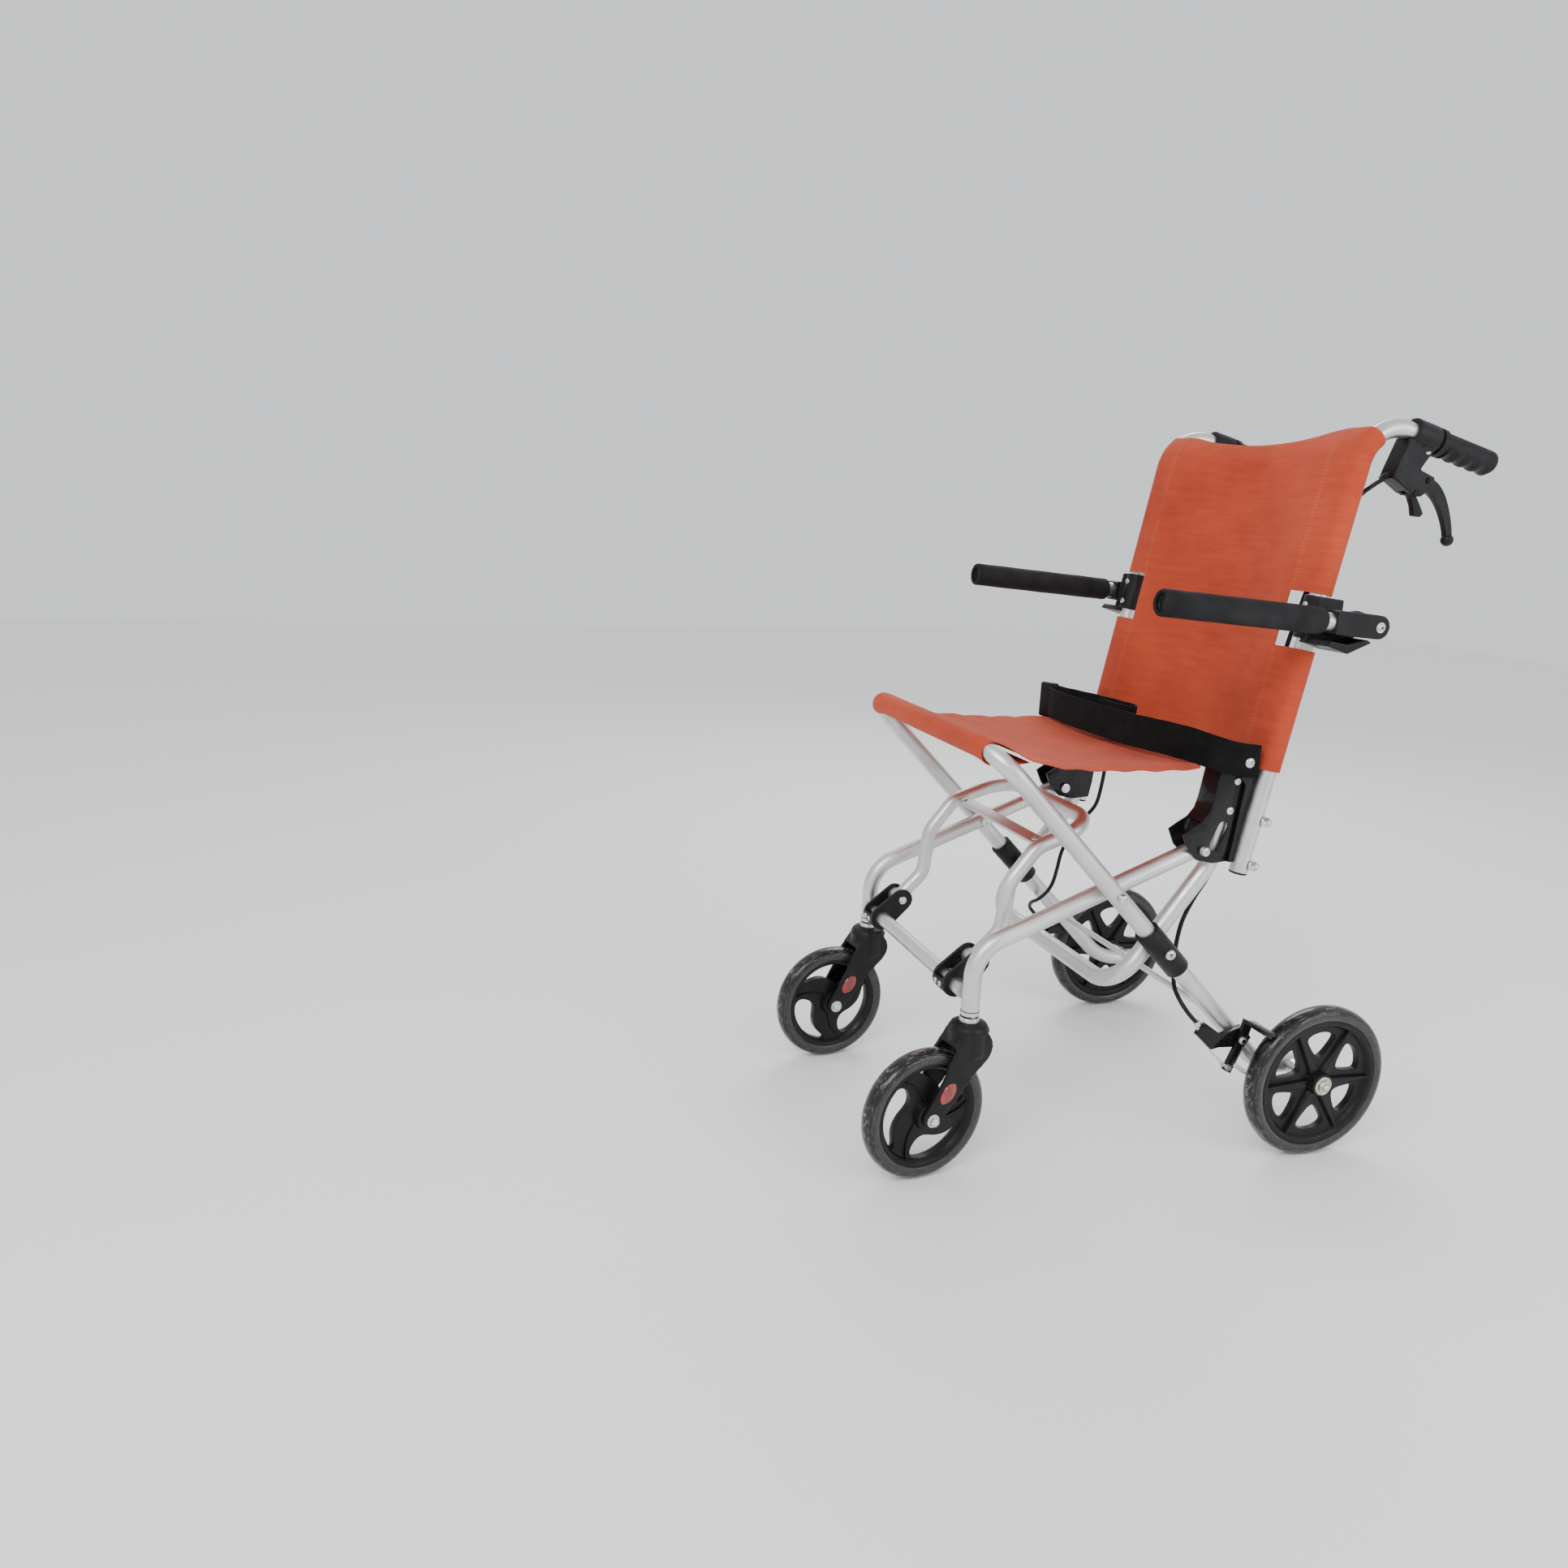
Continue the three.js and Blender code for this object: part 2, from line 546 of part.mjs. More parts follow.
// ---------------------------------------------------------------- back frame
function addBackFrame() {
  for (const [side, sign] of [['L', 1], ['R', -1]]) {
    const x = sign * BACK_X;
    const end = [HANDLE_END_Y, handleAxisZ(HANDLE_END_Y)];
    const tube = bentTube([at(x, BACK_FOOT), at(x, HANDLE_CORNER), at(x, end)], [52], TUBE_R, 6);
    add(`back_tube_${side}`, tube, 'aluminium');
    addBackHinge(side, sign);
    addGrip(side, sign);
    addLeverHousing(side, sign);
    addBrakeLever(side, sign);
    addParkingCatch(side, sign);
    addArmrest(side, sign);
    addBrakeCable(side, sign);
  }
}

// The plate that carries the foot of the back tube and turns on the side bracket's top bolt.
function addBackHinge(side, sign) {
  const plateInner = BRACKET_OUTER_X + 2.5 + 1;
  const plateOuter = plateInner + 4;
  const earFoot = { centre: [backAxisY(478) - 13, 478], radius: 12 };
  const ear = hullOutline([{ centre: BACK_HINGE, radius: 13 }, earFoot]);
  const spine = [[90, 492], [backAxisY(490) - 2, 490], [backAxisY(378) - 2, 378], [77, 378]];
  const earPlate = sidePlate(ear, sign * plateInner, sign * plateOuter);
  const spinePlate = sidePlate(spine, sign * plateInner, sign * plateOuter);
  const onTube = (z) => at(sign * BACK_X, [backAxisY(z), z]);
  const tubeSpace = bore(onTube(330), onTube(560), TUBE_R + GAP);
  const pin = rod(at(sign * (BRACKET_INNER_X - 5), BACK_HINGE), at(sign * (plateOuter + 4), BACK_HINGE), 4);
  const head = rod(at(sign * (plateOuter - 1), BACK_HINGE), at(sign * (plateOuter + 4), BACK_HINGE), 8);
  add(`back_hinge_${side}`, cut(join(earPlate, spinePlate, pin, head), tubeSpace), 'glossBlack');
}

function addGrip(side, sign) {
  const x = sign * BACK_X;
  const run = Math.hypot(1, HANDLE_DROP);
  const from = at(x, [GRIP_FROM_Y, handleAxisZ(GRIP_FROM_Y)]);
  const to = at(x, [GRIP_TO_Y, handleAxisZ(GRIP_TO_Y)]);
  const length = (GRIP_TO_Y - GRIP_FROM_Y) * run;
  const inside = (HANDLE_END_Y - GRIP_FROM_Y) * run + GAP;
  const wall = BORE_R;
  const profile = [[wall, 0], [17, 0], [17, 6], [14.5, 8], [14.5, length - 6], [12, length - 1], [0, length],
    [0, inside], [wall, inside], [wall, 0]];
  add(`grip_${side}`, turned(profile, from, to, 18), 'blackPlastic');
}

const LEVER_PIVOT = [277, 841];
const CATCH_PIVOT = [262, 826];
const HOUSING_HALF = 12;
function addLeverHousing(side, sign) {
  const x = sign * BACK_X;
  const clampFrom = [252, handleAxisZ(252)];
  const clampTo = [285, handleAxisZ(285)];
  const clamp = rod(at(x, clampFrom), at(x, clampTo), 17, 20);
  const body = sidePlate(
    [[243, 888], [286, 882], [273, 866], [264, 853], [287, 845], [284, 832], [270, 822], [254, 826], [226, 842],
      [229, 852]],
    x - HOUSING_HALF,
    x + HOUSING_HALF,
  );
  const tubeSpace = bentTube([at(x, BACK_FOOT), at(x, HANDLE_CORNER), at(x, [330, handleAxisZ(330)])], [52],
    BORE_R, 6);
  const leverSlot = new THREE.BoxGeometry(9, 46, 34).translate(x, LEVER_PIVOT[0] + 6, LEVER_PIVOT[1] - 3);
  const catchSlot = new THREE.BoxGeometry(9, 30, 24).translate(x, CATCH_PIVOT[0] + 4, CATCH_PIVOT[1] - 8);
  const ferrule = bore(at(x, [229, 846]), at(x, [240, 852]), 3.5);
  const pins = [LEVER_PIVOT, CATCH_PIVOT].map((p) => bore(at(x - 20, p), at(x + 20, p), 2.5 + GAP));
  const housing = cut(join(clamp, body), tubeSpace, leverSlot, catchSlot, ferrule, ...pins);
  add(`lever_housing_${side}`, housing, 'blackPlastic');
}

function addBrakeLever(side, sign) {
  const x = sign * BACK_X;
  const blade = bentTube(
    [at(x, [281, 839]), at(x, [312, 822]), at(x, [331, 776])],
    [45],
    5,
    4,
    8,
  );
  const ball = new THREE.SphereGeometry(7.5, 10, 7).translate(x, 331, 774);
  const hub = rod(at(x - 3.8, LEVER_PIVOT), at(x + 3.8, LEVER_PIVOT), 7);
  const slim = new THREE.BoxGeometry(7.6, 200, 200).translate(x, ...LEVER_PIVOT);
  const trimmed = toGeometry(toSolid(join(blade, hub)).intersect(toSolid(slim)));
  const pin = rod(at(x - HOUSING_HALF, LEVER_PIVOT), at(x + HOUSING_HALF, LEVER_PIVOT), 2.5);
  add(`brake_lever_${side}`, join(trimmed, ball, pin), 'blackPlastic');
}

function addParkingCatch(side, sign) {
  const x = sign * BACK_X;
  const outline = [[258, 829], [266, 829], [277, 815], [285, 803], [281, 799], [272, 800], [268, 812]];
  const finger = sidePlate(outline, x - 3.8, x + 3.8);
  const pin = rod(at(x - HOUSING_HALF, CATCH_PIVOT), at(x + HOUSING_HALF, CATCH_PIVOT), 2.5);
  add(`parking_catch_${side}`, join(finger, pin), 'blackPlastic');
}

// An armrest: a bracket clamped on the back tube, a hinge end that turns on it, a tube and a foam sleeve.
const ARM_FRONT = [-90, 695.5];
function addArmrest(side, sign) {
  const x = sign * BACK_X;
  const collarLow = [backAxisY(652), 652];
  const collarHigh = [backAxisY(702), 702];
  const collar = rod(at(x, collarLow), at(x, collarHigh), 15.5, 20);
  const shelf = sidePlate([[130, 650], [160, 641], [192, 654], [186, 657.5], [158, 652], [135, 656]],
    x + sign * 4, sign * (ARM_X + 12));
  const plate = sidePlate([[130, 650], [160, 641], [198, 656], [222, 664], [222, 682], [200, 688], [176, 686],
    [176, 700], [140, 704]], x + sign * 12, x + sign * 18);
  const tubeSpace = bore(at(x, [backAxisY(600), 600]), at(x, [backAxisY(750), 750]), TUBE_R + GAP);
  const pin = rod(at(x + sign * 14, ARM_PIVOT), at(sign * (ARM_X + 15), ARM_PIVOT), 4);
  add(`armrest_bracket_${side}`, cut(join(collar, shelf, plate, pin), tubeSpace), 'blackPlastic');

  const armX = sign * ARM_X;
  const slope = new THREE.Vector2(ARM_PIVOT[0] - ARM_FRONT[0], ARM_PIVOT[1] - ARM_FRONT[1]).normalize();
  const onArm = (distance) => along(ARM_FRONT, [slope.x, slope.y], distance);
  const tubeLength = 258;
  add(`armrest_tube_${side}`, rod(at(armX, onArm(1)), at(armX, onArm(tubeLength)), TUBE_R), 'aluminium');
  const foamLength = 217;
  const foamProfile = [[BORE_R, 0], [14, 0], [15.5, 1.5], [15.5, foamLength - 1.5], [14, foamLength],
    [BORE_R, foamLength], [BORE_R, 0]];
  const foam = turned(foamProfile, at(armX, ARM_FRONT), at(armX, onArm(foamLength)), 16);
  add(`armrest_foam_${side}`, foam, 'foam');

  const endOutline = hullOutline([{ centre: onArm(234), radius: 14 }, { centre: ARM_PIVOT, radius: 14 }]);
  const block = sidePlate(endOutline, armX - sign * 13, armX + sign * 13);
  const squareEnd = new THREE.BoxGeometry(60, 30, 60).translate(armX, onArm(234)[0] - 20, onArm(234)[1]);
  const socket = bore(at(armX, onArm(200)), at(armX, onArm(tubeLength + GAP)), TUBE_R + GAP);
  const pinHole = bore(at(sign * 180, ARM_PIVOT), at(sign * 270, ARM_PIVOT), 4 + GAP);
  add(`armrest_hinge_${side}`, cut(block, squareEnd, socket, pinHole), 'blackPlastic');
}

// The brake cable leaves the lever housing, runs down behind the back fabric and along the frame to the brake.
const CABLE_R = 2.5;
const CABLE_ROUTE = [
  [187, 224, 841], [183, 213, 833], [172, 200, 815], [160, 180, 770], [153, 163, 700], [150, 150, 640],
  [148, 138, 580], [146, 124, 530], [143, 112, 480], [141, 103, 430], [141, 100, 400], [142, 94, 368],
  [147, 80, 346], [150, 62, 322], [150, 49, 294], [150, 44, 268], [153, 41, 246], [160, 37, 229],
  [173, 31, 213], [190, 29, 202], [202, 34, 190], [205, 45, 178],
];
function addBrakeCable(side, sign) {
  const points = CABLE_ROUTE.map(([x, y, z]) => new THREE.Vector3(sign * x, y, z));
  const route = new THREE.CatmullRomCurve3(points, false, 'centripetal');
  const cable = new THREE.ExtrudeGeometry(polygon(CABLE_R, 6), { steps: 34, extrudePath: route });
  add(`brake_cable_${side}`, cable, 'webbing');
}

// ---------------------------------------------------------------- footrest
function addFootrest() {
  const x = FOOTREST_X;
  const leg = [FOOTREST_PIVOT, [-190, 284], [-184, 345], [-150, 388], [-71, 416]];
  const corners = [...leg.map((p) => at(x, p)), ...[...leg].reverse().map((p) => at(-x, p))];
  const hoop = bentTube(corners, [30, 34, 34, 46, 46, 34, 34, 30], THIN_TUBE_R, 3);
  const eyes = [x, -x].map((h) => rod(at(h - 10.5, FOOTREST_PIVOT), at(h + 10.5, FOOTREST_PIVOT), 11));
  const pins = [x, -x].map((h) => rod(at(h - 20, FOOTREST_PIVOT), at(h + 20, FOOTREST_PIVOT), 4));
  const bar = new THREE.BoxGeometry(2 * x, 18, 5).rotateX(0.35).translate(0, -141, 391);
  add('footrest_hoop', join(hoop, ...eyes, ...pins, bar), 'aluminium');
}

// ---------------------------------------------------------------- soft parts
// Seat: a sheet from the roll round the front bar to the back, sagging a little in the middle.
function addSeatFabric() {
  const rollR = TUBE_R + 3.5;
  const sheetHalf = 165;
  const rollHalf = 141;
  const roll = rod(at(-rollHalf, SEAT_BAR), at(rollHalf, SEAT_BAR), rollR, 20);
  const bar = bore(at(-rollHalf - 5, SEAT_BAR), at(rollHalf + 5, SEAT_BAR), TUBE_R + GAP, 20);
  const sheet = sidePlate([[-262, 533], [-240, 532], [-190, 505], [-110, 498], [0, 496], [70, 500], [92, 503],
    [92, 499], [70, 496], [0, 492], [-110, 494], [-190, 501], [-250, 509]], -rollHalf, rollHalf);
  const wide = sidePlate([[-190, 505], [-110, 498], [0, 496], [45, 499], [45, 495], [0, 492], [-110, 494],
    [-190, 501]], -sheetHalf, sheetHalf);
  add('seat_fabric', cut(join(roll, sheet, wide), bar), 'fabric');
}

// Back: a sleeve round each back tube and a sheet between them, cut away at both sides for the armrests.
function addBackFabric() {
  const low = 496;
  const high = 884;
  const sleeveR = TUBE_R + 2.5;
  const sleeves = [];
  const bores = [];
  for (const sign of [1, -1]) {
    const x = sign * BACK_X;
    sleeves.push(rod(at(x, [backAxisY(low), low]), at(x, [backAxisY(high - 40), high - 40]), sleeveR, 20));
    bores.push(bentTube([at(x, BACK_FOOT), at(x, HANDLE_CORNER), at(x, [330, handleAxisZ(330)])], [52],
      BORE_R, 6));
  }
  const front = -sleeveR + 1;
  const rear = front + 4;
  const outline = [
    [backAxisY(low) + front, low], [backAxisY(high) + front, high], [backAxisY(high) + rear, high],
    [backAxisY(low) + rear, low],
  ];
  const sheet = sidePlate(outline, -BACK_X, BACK_X);
  const notches = [1, -1].map((sign) => new THREE.BoxGeometry(72, 80, 74)
    .translate(sign * (BACK_X + 6), backAxisY(677), 677));
  add('back_fabric', cut(join(sheet, ...sleeves), ...notches, ...bores), 'fabric');
}

// The plan outline of a strap standing on edge along a path of [x, y] points.
function strapOutline(path, thickness) {
  const points = path.map(([x, y]) => new THREE.Vector2(x, y));
  const edge = (offset) => points.map((point, i) => {
    const before = points[Math.max(i - 1, 0)];
    const after = points[Math.min(i + 1, points.length - 1)];
    const direction = after.clone().sub(before).normalize();
    return new THREE.Vector2(point.x - direction.y * offset, point.y + direction.x * offset);
  });
  return [...edge(thickness / 2), ...edge(-thickness / 2).reverse()];
}

// Lap belt: a strap pinned outside each back pivot crosses the seat to a buckle, whose loose tail doubles back.
function addLapBelt() {
  const low = 503;
  const height = 40;
  const thickness = 3;
  const half = [[192, 64], [184, 45], [166, 29], [130, 16], [70, 9]];
  const mirrored = half.map(([x, y]) => [-x, y]).reverse();
  const strap = (path) => new THREE.ExtrudeGeometry(new THREE.Shape(strapOutline(path, thickness)),
    { depth: height, bevelEnabled: false }).translate(0, 0, low);
  const across = strap([...half, [0, 5], ...mirrored]);
  const tail = strap([[-156, 18], [-105, 20], [-60, 34], [0, 41], [28, 33]]);
  const buckle = new THREE.BoxGeometry(28, 10, height + 6).rotateZ(-0.45).translate(-158, 21, low + height / 2);
  const endTab = [[66, low], [60, low + height], [84, 531], [99, 521], [103, 488], [84, 486]];
  const tabs = [1, -1].map((sign) => sidePlate(endTab, sign * 190.5, sign * 193.5));
  add('lap_belt', join(across, tail, buckle, ...tabs), 'webbing');
}

addFrontFrame();
addRearFrame();
addCaster('L', 1);
addCaster('R', -1);
addSupportFrame();
addBackFrame();
addFootrest();
addSeatFabric();
addBackFabric();
addLapBelt();

export default wheelchair;
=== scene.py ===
"""Transport wheelchair: the visual model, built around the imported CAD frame. Metres, +X the sitter's left,
-Y the front of the chair, +Z up."""
import json
from contextlib import contextmanager
from itertools import product
from math import cos, dist, pi, radians, sin, sqrt, tan

import bmesh
import bpy
import numpy as np
from mathutils import Matrix, Vector


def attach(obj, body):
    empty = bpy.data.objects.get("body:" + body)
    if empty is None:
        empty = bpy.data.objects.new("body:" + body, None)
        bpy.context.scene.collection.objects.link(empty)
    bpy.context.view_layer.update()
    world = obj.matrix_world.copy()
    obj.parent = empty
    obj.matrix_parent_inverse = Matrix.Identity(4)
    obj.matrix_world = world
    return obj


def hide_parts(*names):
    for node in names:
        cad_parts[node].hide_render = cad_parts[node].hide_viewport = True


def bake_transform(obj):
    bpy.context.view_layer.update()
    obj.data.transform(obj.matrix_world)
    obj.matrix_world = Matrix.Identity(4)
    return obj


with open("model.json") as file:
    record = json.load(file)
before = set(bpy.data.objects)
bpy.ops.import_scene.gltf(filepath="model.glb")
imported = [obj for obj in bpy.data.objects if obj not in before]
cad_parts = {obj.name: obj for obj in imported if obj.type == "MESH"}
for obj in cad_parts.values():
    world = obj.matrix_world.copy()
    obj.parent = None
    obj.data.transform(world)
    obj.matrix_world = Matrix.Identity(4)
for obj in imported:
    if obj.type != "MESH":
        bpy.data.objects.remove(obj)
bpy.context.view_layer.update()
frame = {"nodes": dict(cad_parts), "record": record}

MM = 0.001
SIDES = (("L", 1), ("R", -1))


def new_object(name, data):
    made = bpy.data.objects.new(name, data)
    bpy.context.scene.collection.objects.link(made)
    return made


# ------------------------------------------------------------------ camera, light and floor
CAMERA_PLACE = Vector((1.3646, -0.8775, 0.7841))
CAMERA_YAW = radians(72.2)
CAMERA_PITCH = radians(-13.2)
CAMERA_ROLL = radians(2.46)
CAMERA_LENS = 27.51
FLOOR_REACH = 6.0


def add_camera():
    level = Vector((cos(CAMERA_YAW), sin(CAMERA_YAW), 0))
    ahead = Vector((-level.y, level.x, 0)) * cos(CAMERA_PITCH) + Vector((0, 0, sin(CAMERA_PITCH)))
    up = level.cross(ahead)
    right = level * cos(CAMERA_ROLL) + up * sin(CAMERA_ROLL)
    top = up * cos(CAMERA_ROLL) - level * sin(CAMERA_ROLL)
    data = bpy.data.cameras.new("camera")
    data.lens = CAMERA_LENS
    data.sensor_width = 36.0
    data.clip_start = 0.05
    camera = new_object("camera", data)
    turn = Matrix((right, top, -ahead)).transposed().to_4x4()
    camera.matrix_world = Matrix.Translation(CAMERA_PLACE) @ turn
    bpy.context.scene.camera = camera


def add_light(name, place, target, size, power):
    data = bpy.data.lights.new(name, "AREA")
    data.shape = "RECTANGLE"
    data.size, data.size_y = size
    data.energy = power
    lamp = new_object(name, data)
    lamp.location = place
    lamp.rotation_euler = (Vector(target) - Vector(place)).to_track_quat("-Z", "Y").to_euler()


def add_studio():
    world = bpy.data.worlds.new("studio")
    world.use_nodes = True
    sky = world.node_tree.nodes["Background"].inputs
    sky["Color"].default_value = (0.95, 0.97, 1.0, 1)
    sky["Strength"].default_value = 1.0
    bpy.context.scene.world = world
    add_light("key", (1.7, -1.9, 2.4), (0, 0, 0.4), (1.6, 1.2), 50)
    add_light("fill", (2.2, 1.3, 1.3), (0, 0.1, 0.4), (1.4, 1.4), 22)
    add_light("rim", (-1.8, 0.9, 2.0), (0, 0, 0.5), (1.4, 1.0), 24)
    mesh = bpy.data.meshes.new("floor")
    corners = [(x * FLOOR_REACH, y * FLOOR_REACH, 0) for x, y in ((-1, -1), (1, -1), (1, 1), (-1, 1))]
    mesh.from_pydata(corners, [], [(0, 1, 2, 3)])
    floor = new_object("floor", mesh)
    mat = bpy.data.materials.new("floor")
    mat.use_nodes = True
    paint = mat.node_tree.nodes["Principled BSDF"].inputs
    paint["Base Color"].default_value = (0.93, 0.93, 0.92, 1)
    paint["Roughness"].default_value = 0.7
    mesh.materials.append(mat)


# ------------------------------------------------------------------ materials
class Finish:
    """A material under construction: short names for its nodes and links."""

    def __init__(self, name, slot, rough, metal=0.0, **sockets):
        self.slot = slot
        self.mat = bpy.data.materials.new(name)
        self.mat.use_nodes = True
        self.tree = self.mat.node_tree
        self.bsdf = self.tree.nodes["Principled BSDF"]
        sockets.update(Roughness=rough, Metallic=metal)
        for key, value in sockets.items():
            self.bsdf.inputs[key.replace("_", " ")].default_value = value

    def node(self, kind, **settings):
        made = self.tree.nodes.new("ShaderNode" + kind)
        for key, value in settings.items():
            if hasattr(made, key):
                setattr(made, key, value)
            else:
                made.inputs[key.replace("_", " ")].default_value = value
        return made

    def link(self, a, b):
        self.tree.links.new(a, b)

    def coords(self, uv=False, scale=(1, 1, 1)):
        source = self.node("TexCoord")
        mapping = self.node("Mapping")
        mapping.inputs["Scale"].default_value = scale
        self.link(source.outputs["UV" if uv else "Object"], mapping.inputs["Vector"])
        return mapping.outputs["Vector"]

    def noise(self, scale, detail=3.0, rough=0.55, coords=None, distortion=0.0):
        made = self.node("TexNoise", Scale=scale, Detail=detail, Roughness=rough, Distortion=distortion)
        self.link(coords or self.coords(), made.inputs["Vector"])
        return made.outputs["Fac"]

    def ramp(self, factor, stops):
        made = self.node("ValToRGB")
        ramp = made.color_ramp
        while len(ramp.elements) < len(stops):
            ramp.elements.new(0.5)
        for element, (place, colour) in zip(ramp.elements, stops):
            element.position = place
            element.color = (*colour, 1)
        self.link(factor, made.inputs["Fac"])
        return made.outputs["Color"]

    def span(self, factor, low, high, start=0.3, end=0.7):
        made = self.node("MapRange", From_Min=start, From_Max=end, To_Min=low, To_Max=high)
        self.link(factor, made.inputs["Value"])
        return made.outputs["Result"]

    def maths(self, operation, a, b):
        made = self.node("Math", operation=operation)
        for place, value in enumerate((a, b)):
            if isinstance(value, float):
                made.inputs[place].default_value = value
            else:
                self.link(value, made.inputs[place])
        return made.outputs["Value"]

    def mixed(self, a, b, share):
        """Two values added, with b's share of the whole."""
        return self.maths("ADD", self.maths("MULTIPLY", a, 1 - share), self.maths("MULTIPLY", b, share))

    def threads(self, flat, direction, spacing, distortion, detail):
        wave = self.node("TexWave", wave_type="BANDS", bands_direction=direction, Scale=0.314 / spacing,
            Distortion=distortion, Detail=detail)
        self.link(flat, wave.inputs["Vector"])
        return wave.outputs["Fac"]

    def cells(self, scale, **settings):
        made = self.node("TexVoronoi", Scale=scale, **settings)
        self.link(self.coords(), made.inputs["Vector"])
        return made.outputs["Distance"]

    def colour(self, output):
        self.link(output, self.bsdf.inputs["Base Color"])

    def roughness(self, scale, detail, low, high):
        self.link(self.span(self.noise(scale, detail), low, high), self.bsdf.inputs["Roughness"])

    def bump(self, height, strength, distance, after=None):
        made = self.node("Bump", Strength=strength, Distance=distance)
        self.link(height, made.inputs["Height"])
        if after is not None:
            self.link(after, made.inputs["Normal"])
        self.link(made.outputs["Normal"], self.bsdf.inputs["Normal"])
        return made.outputs["Normal"]


def grained(name, slot, rough, metal, shade, gloss, grain, **sockets):
    """A finish from three noises: its colour, its roughness and its bump."""
    f = Finish(name, slot, rough, metal, **sockets)
    scale, detail, *stops = shade
    f.colour(f.ramp(f.noise(scale, detail), stops))
    f.roughness(*gloss)
    scale, detail, strength, distance = grain
    f.bump(f.noise(scale, detail), strength, distance)
    return f


def plastic(name, slot, dark, light, rough, grain):
    return grained(name, slot, rough, 0.0, (35, 5, (0.3, dark), (0.75, light)), (90, 5, rough - 0.08,
        rough + 0.12), (1900, 3, grain, 0.00015), Specular_IOR_Level=0.2)


def tyre():
    """Cast urethane: a dark tread with painted reflections streaked round its run, and smoky grey sides with
    painted reflection streaks.
    """
    f = Finish("polyurethane_tyre", "polyurethane_tyre", 0.25, 0.0, Specular_IOR_Level=0.32, Coat_Weight=0.15,
        Coat_Roughness=0.1)
    parts = f.node("SeparateXYZ")
    f.link(f.coords(uv=True), parts.inputs["Vector"])
    height = parts.outputs["X"]
    ring = f.node("CombineXYZ")
    f.link(f.maths("MULTIPLY", height, 22.0), ring.inputs["X"])
    f.link(f.maths("MULTIPLY", parts.outputs["Y"], 40.0), ring.inputs["Y"])
    f.link(f.maths("MULTIPLY", f.noise(14, 3), 5.0), ring.inputs["Z"])
    reflection_streaks = f.noise(1.0, 4, 0.62, ring.outputs["Vector"], 0.8)
    # painted reflection: the pale grey band in the tread's ramp and the lighter greys in the sides' ramp stand in
    # for gloss highlights streaked round the tyre; the sides' dark smoky grey is the urethane's own colour
    tread = f.ramp(reflection_streaks, [(0.34, (0.004, 0.004, 0.004)), (0.56, (0.012, 0.012, 0.012)), (0.64,
        (0.16, 0.155, 0.15)), (0.72, (0.014, 0.014, 0.014))])
    side = f.ramp(reflection_streaks, [(0.3, (0.012, 0.012, 0.013)), (0.55, (0.034, 0.034, 0.035)), (0.7,
        (0.062, 0.062, 0.062))])
    mix = f.node("Mix", data_type="RGBA")
    f.link(f.span(height, 0.0, 1.0, 0.5, 0.62), mix.inputs[0])
    f.link(side, mix.inputs[6])
    f.link(tread, mix.inputs[7])
    f.colour(mix.outputs[2])
    f.roughness(70, 4, 0.14, 0.34)
    f.bump(reflection_streaks, 0.3, 0.0008)
    return f


def foam():
    f = Finish("closed_cell_foam", "foam", 0.82, 0.0, Specular_IOR_Level=0.15)
    f.colour(f.ramp(f.noise(30, 5), [(0.3, (0.01, 0.01, 0.011)), (0.75, (0.026, 0.026, 0.027))]))
    f.roughness(120, 4, 0.7, 0.95)
    f.bump(f.cells(1500.0), 0.35, 0.0003)
    return f


def woven(name, slot, dark, light, thread, sheen):
    """A plain weave whose threads follow the sheet's own flat coordinates, given in metres."""
    f = Finish(name, slot, 0.85, 0.0, Specular_IOR_Level=0.12, Sheen_Weight=sheen, Sheen_Roughness=0.45)
    flat = f.coords(uv=True)
    weave = f.maths("MULTIPLY", *(f.threads(flat, way, thread, 0.25, 1.0) for way in "XY"))
    slubs = f.noise(140, 3, 0.6, f.coords(uv=True, scale=(0.12, 1, 1)))
    shade = f.mixed(f.mixed(f.noise(9, 6, 0.6), slubs, 0.38), weave, 0.14)
    f.colour(f.ramp(shade, [(0.3, dark), (0.62, light)]))
    f.link(f.span(slubs, 0.72, 0.92), f.bsdf.inputs["Roughness"])
    soft = f.bump(f.noise(26, 4, 0.5), 0.25, 0.002)
    f.bump(weave, 0.45, 0.0003, soft)
    return f


def webbing():
    f = Finish("black_webbing", "black_webbing", 0.9, 0.0, Specular_IOR_Level=0.08, Sheen_Weight=0.04)
    flat = f.coords(uv=True)
    both = f.maths("MULTIPLY", f.threads(flat, "X", 0.0022, 0.5, 2.0), f.threads(flat, "Y", 0.0014, 0.3, 1.0))
    f.colour(f.ramp(f.mixed(f.noise(60, 5), both, 0.4), [(0.25, (0.003, 0.003, 0.003)), (0.8,
        (0.014, 0.014, 0.015))]))
    f.roughness(200, 3, 0.8, 0.97)
    f.bump(both, 0.7, 0.0005)
    return f


def reflector():
    f = Finish("reflector_red", "black_plastic", 0.12, 0.0, Coat_Weight=0.8, Coat_Roughness=0.04)
    prisms = f.cells(420.0, distance="MANHATTAN", Randomness=0.0)
    # painted glint and shade: each prism cell is painted bright red at its middle and dark red at its edges,
    # standing in for light caught by the prisms; the red itself is the lens's own colour
    f.colour(f.ramp(prisms, [(0.1, (0.62, 0.02, 0.015)), (0.8, (0.16, 0.002, 0.002))]))
    f.roughness(150, 3, 0.08, 0.22)
    f.bump(prisms, 0.9, 0.0008)
    return f


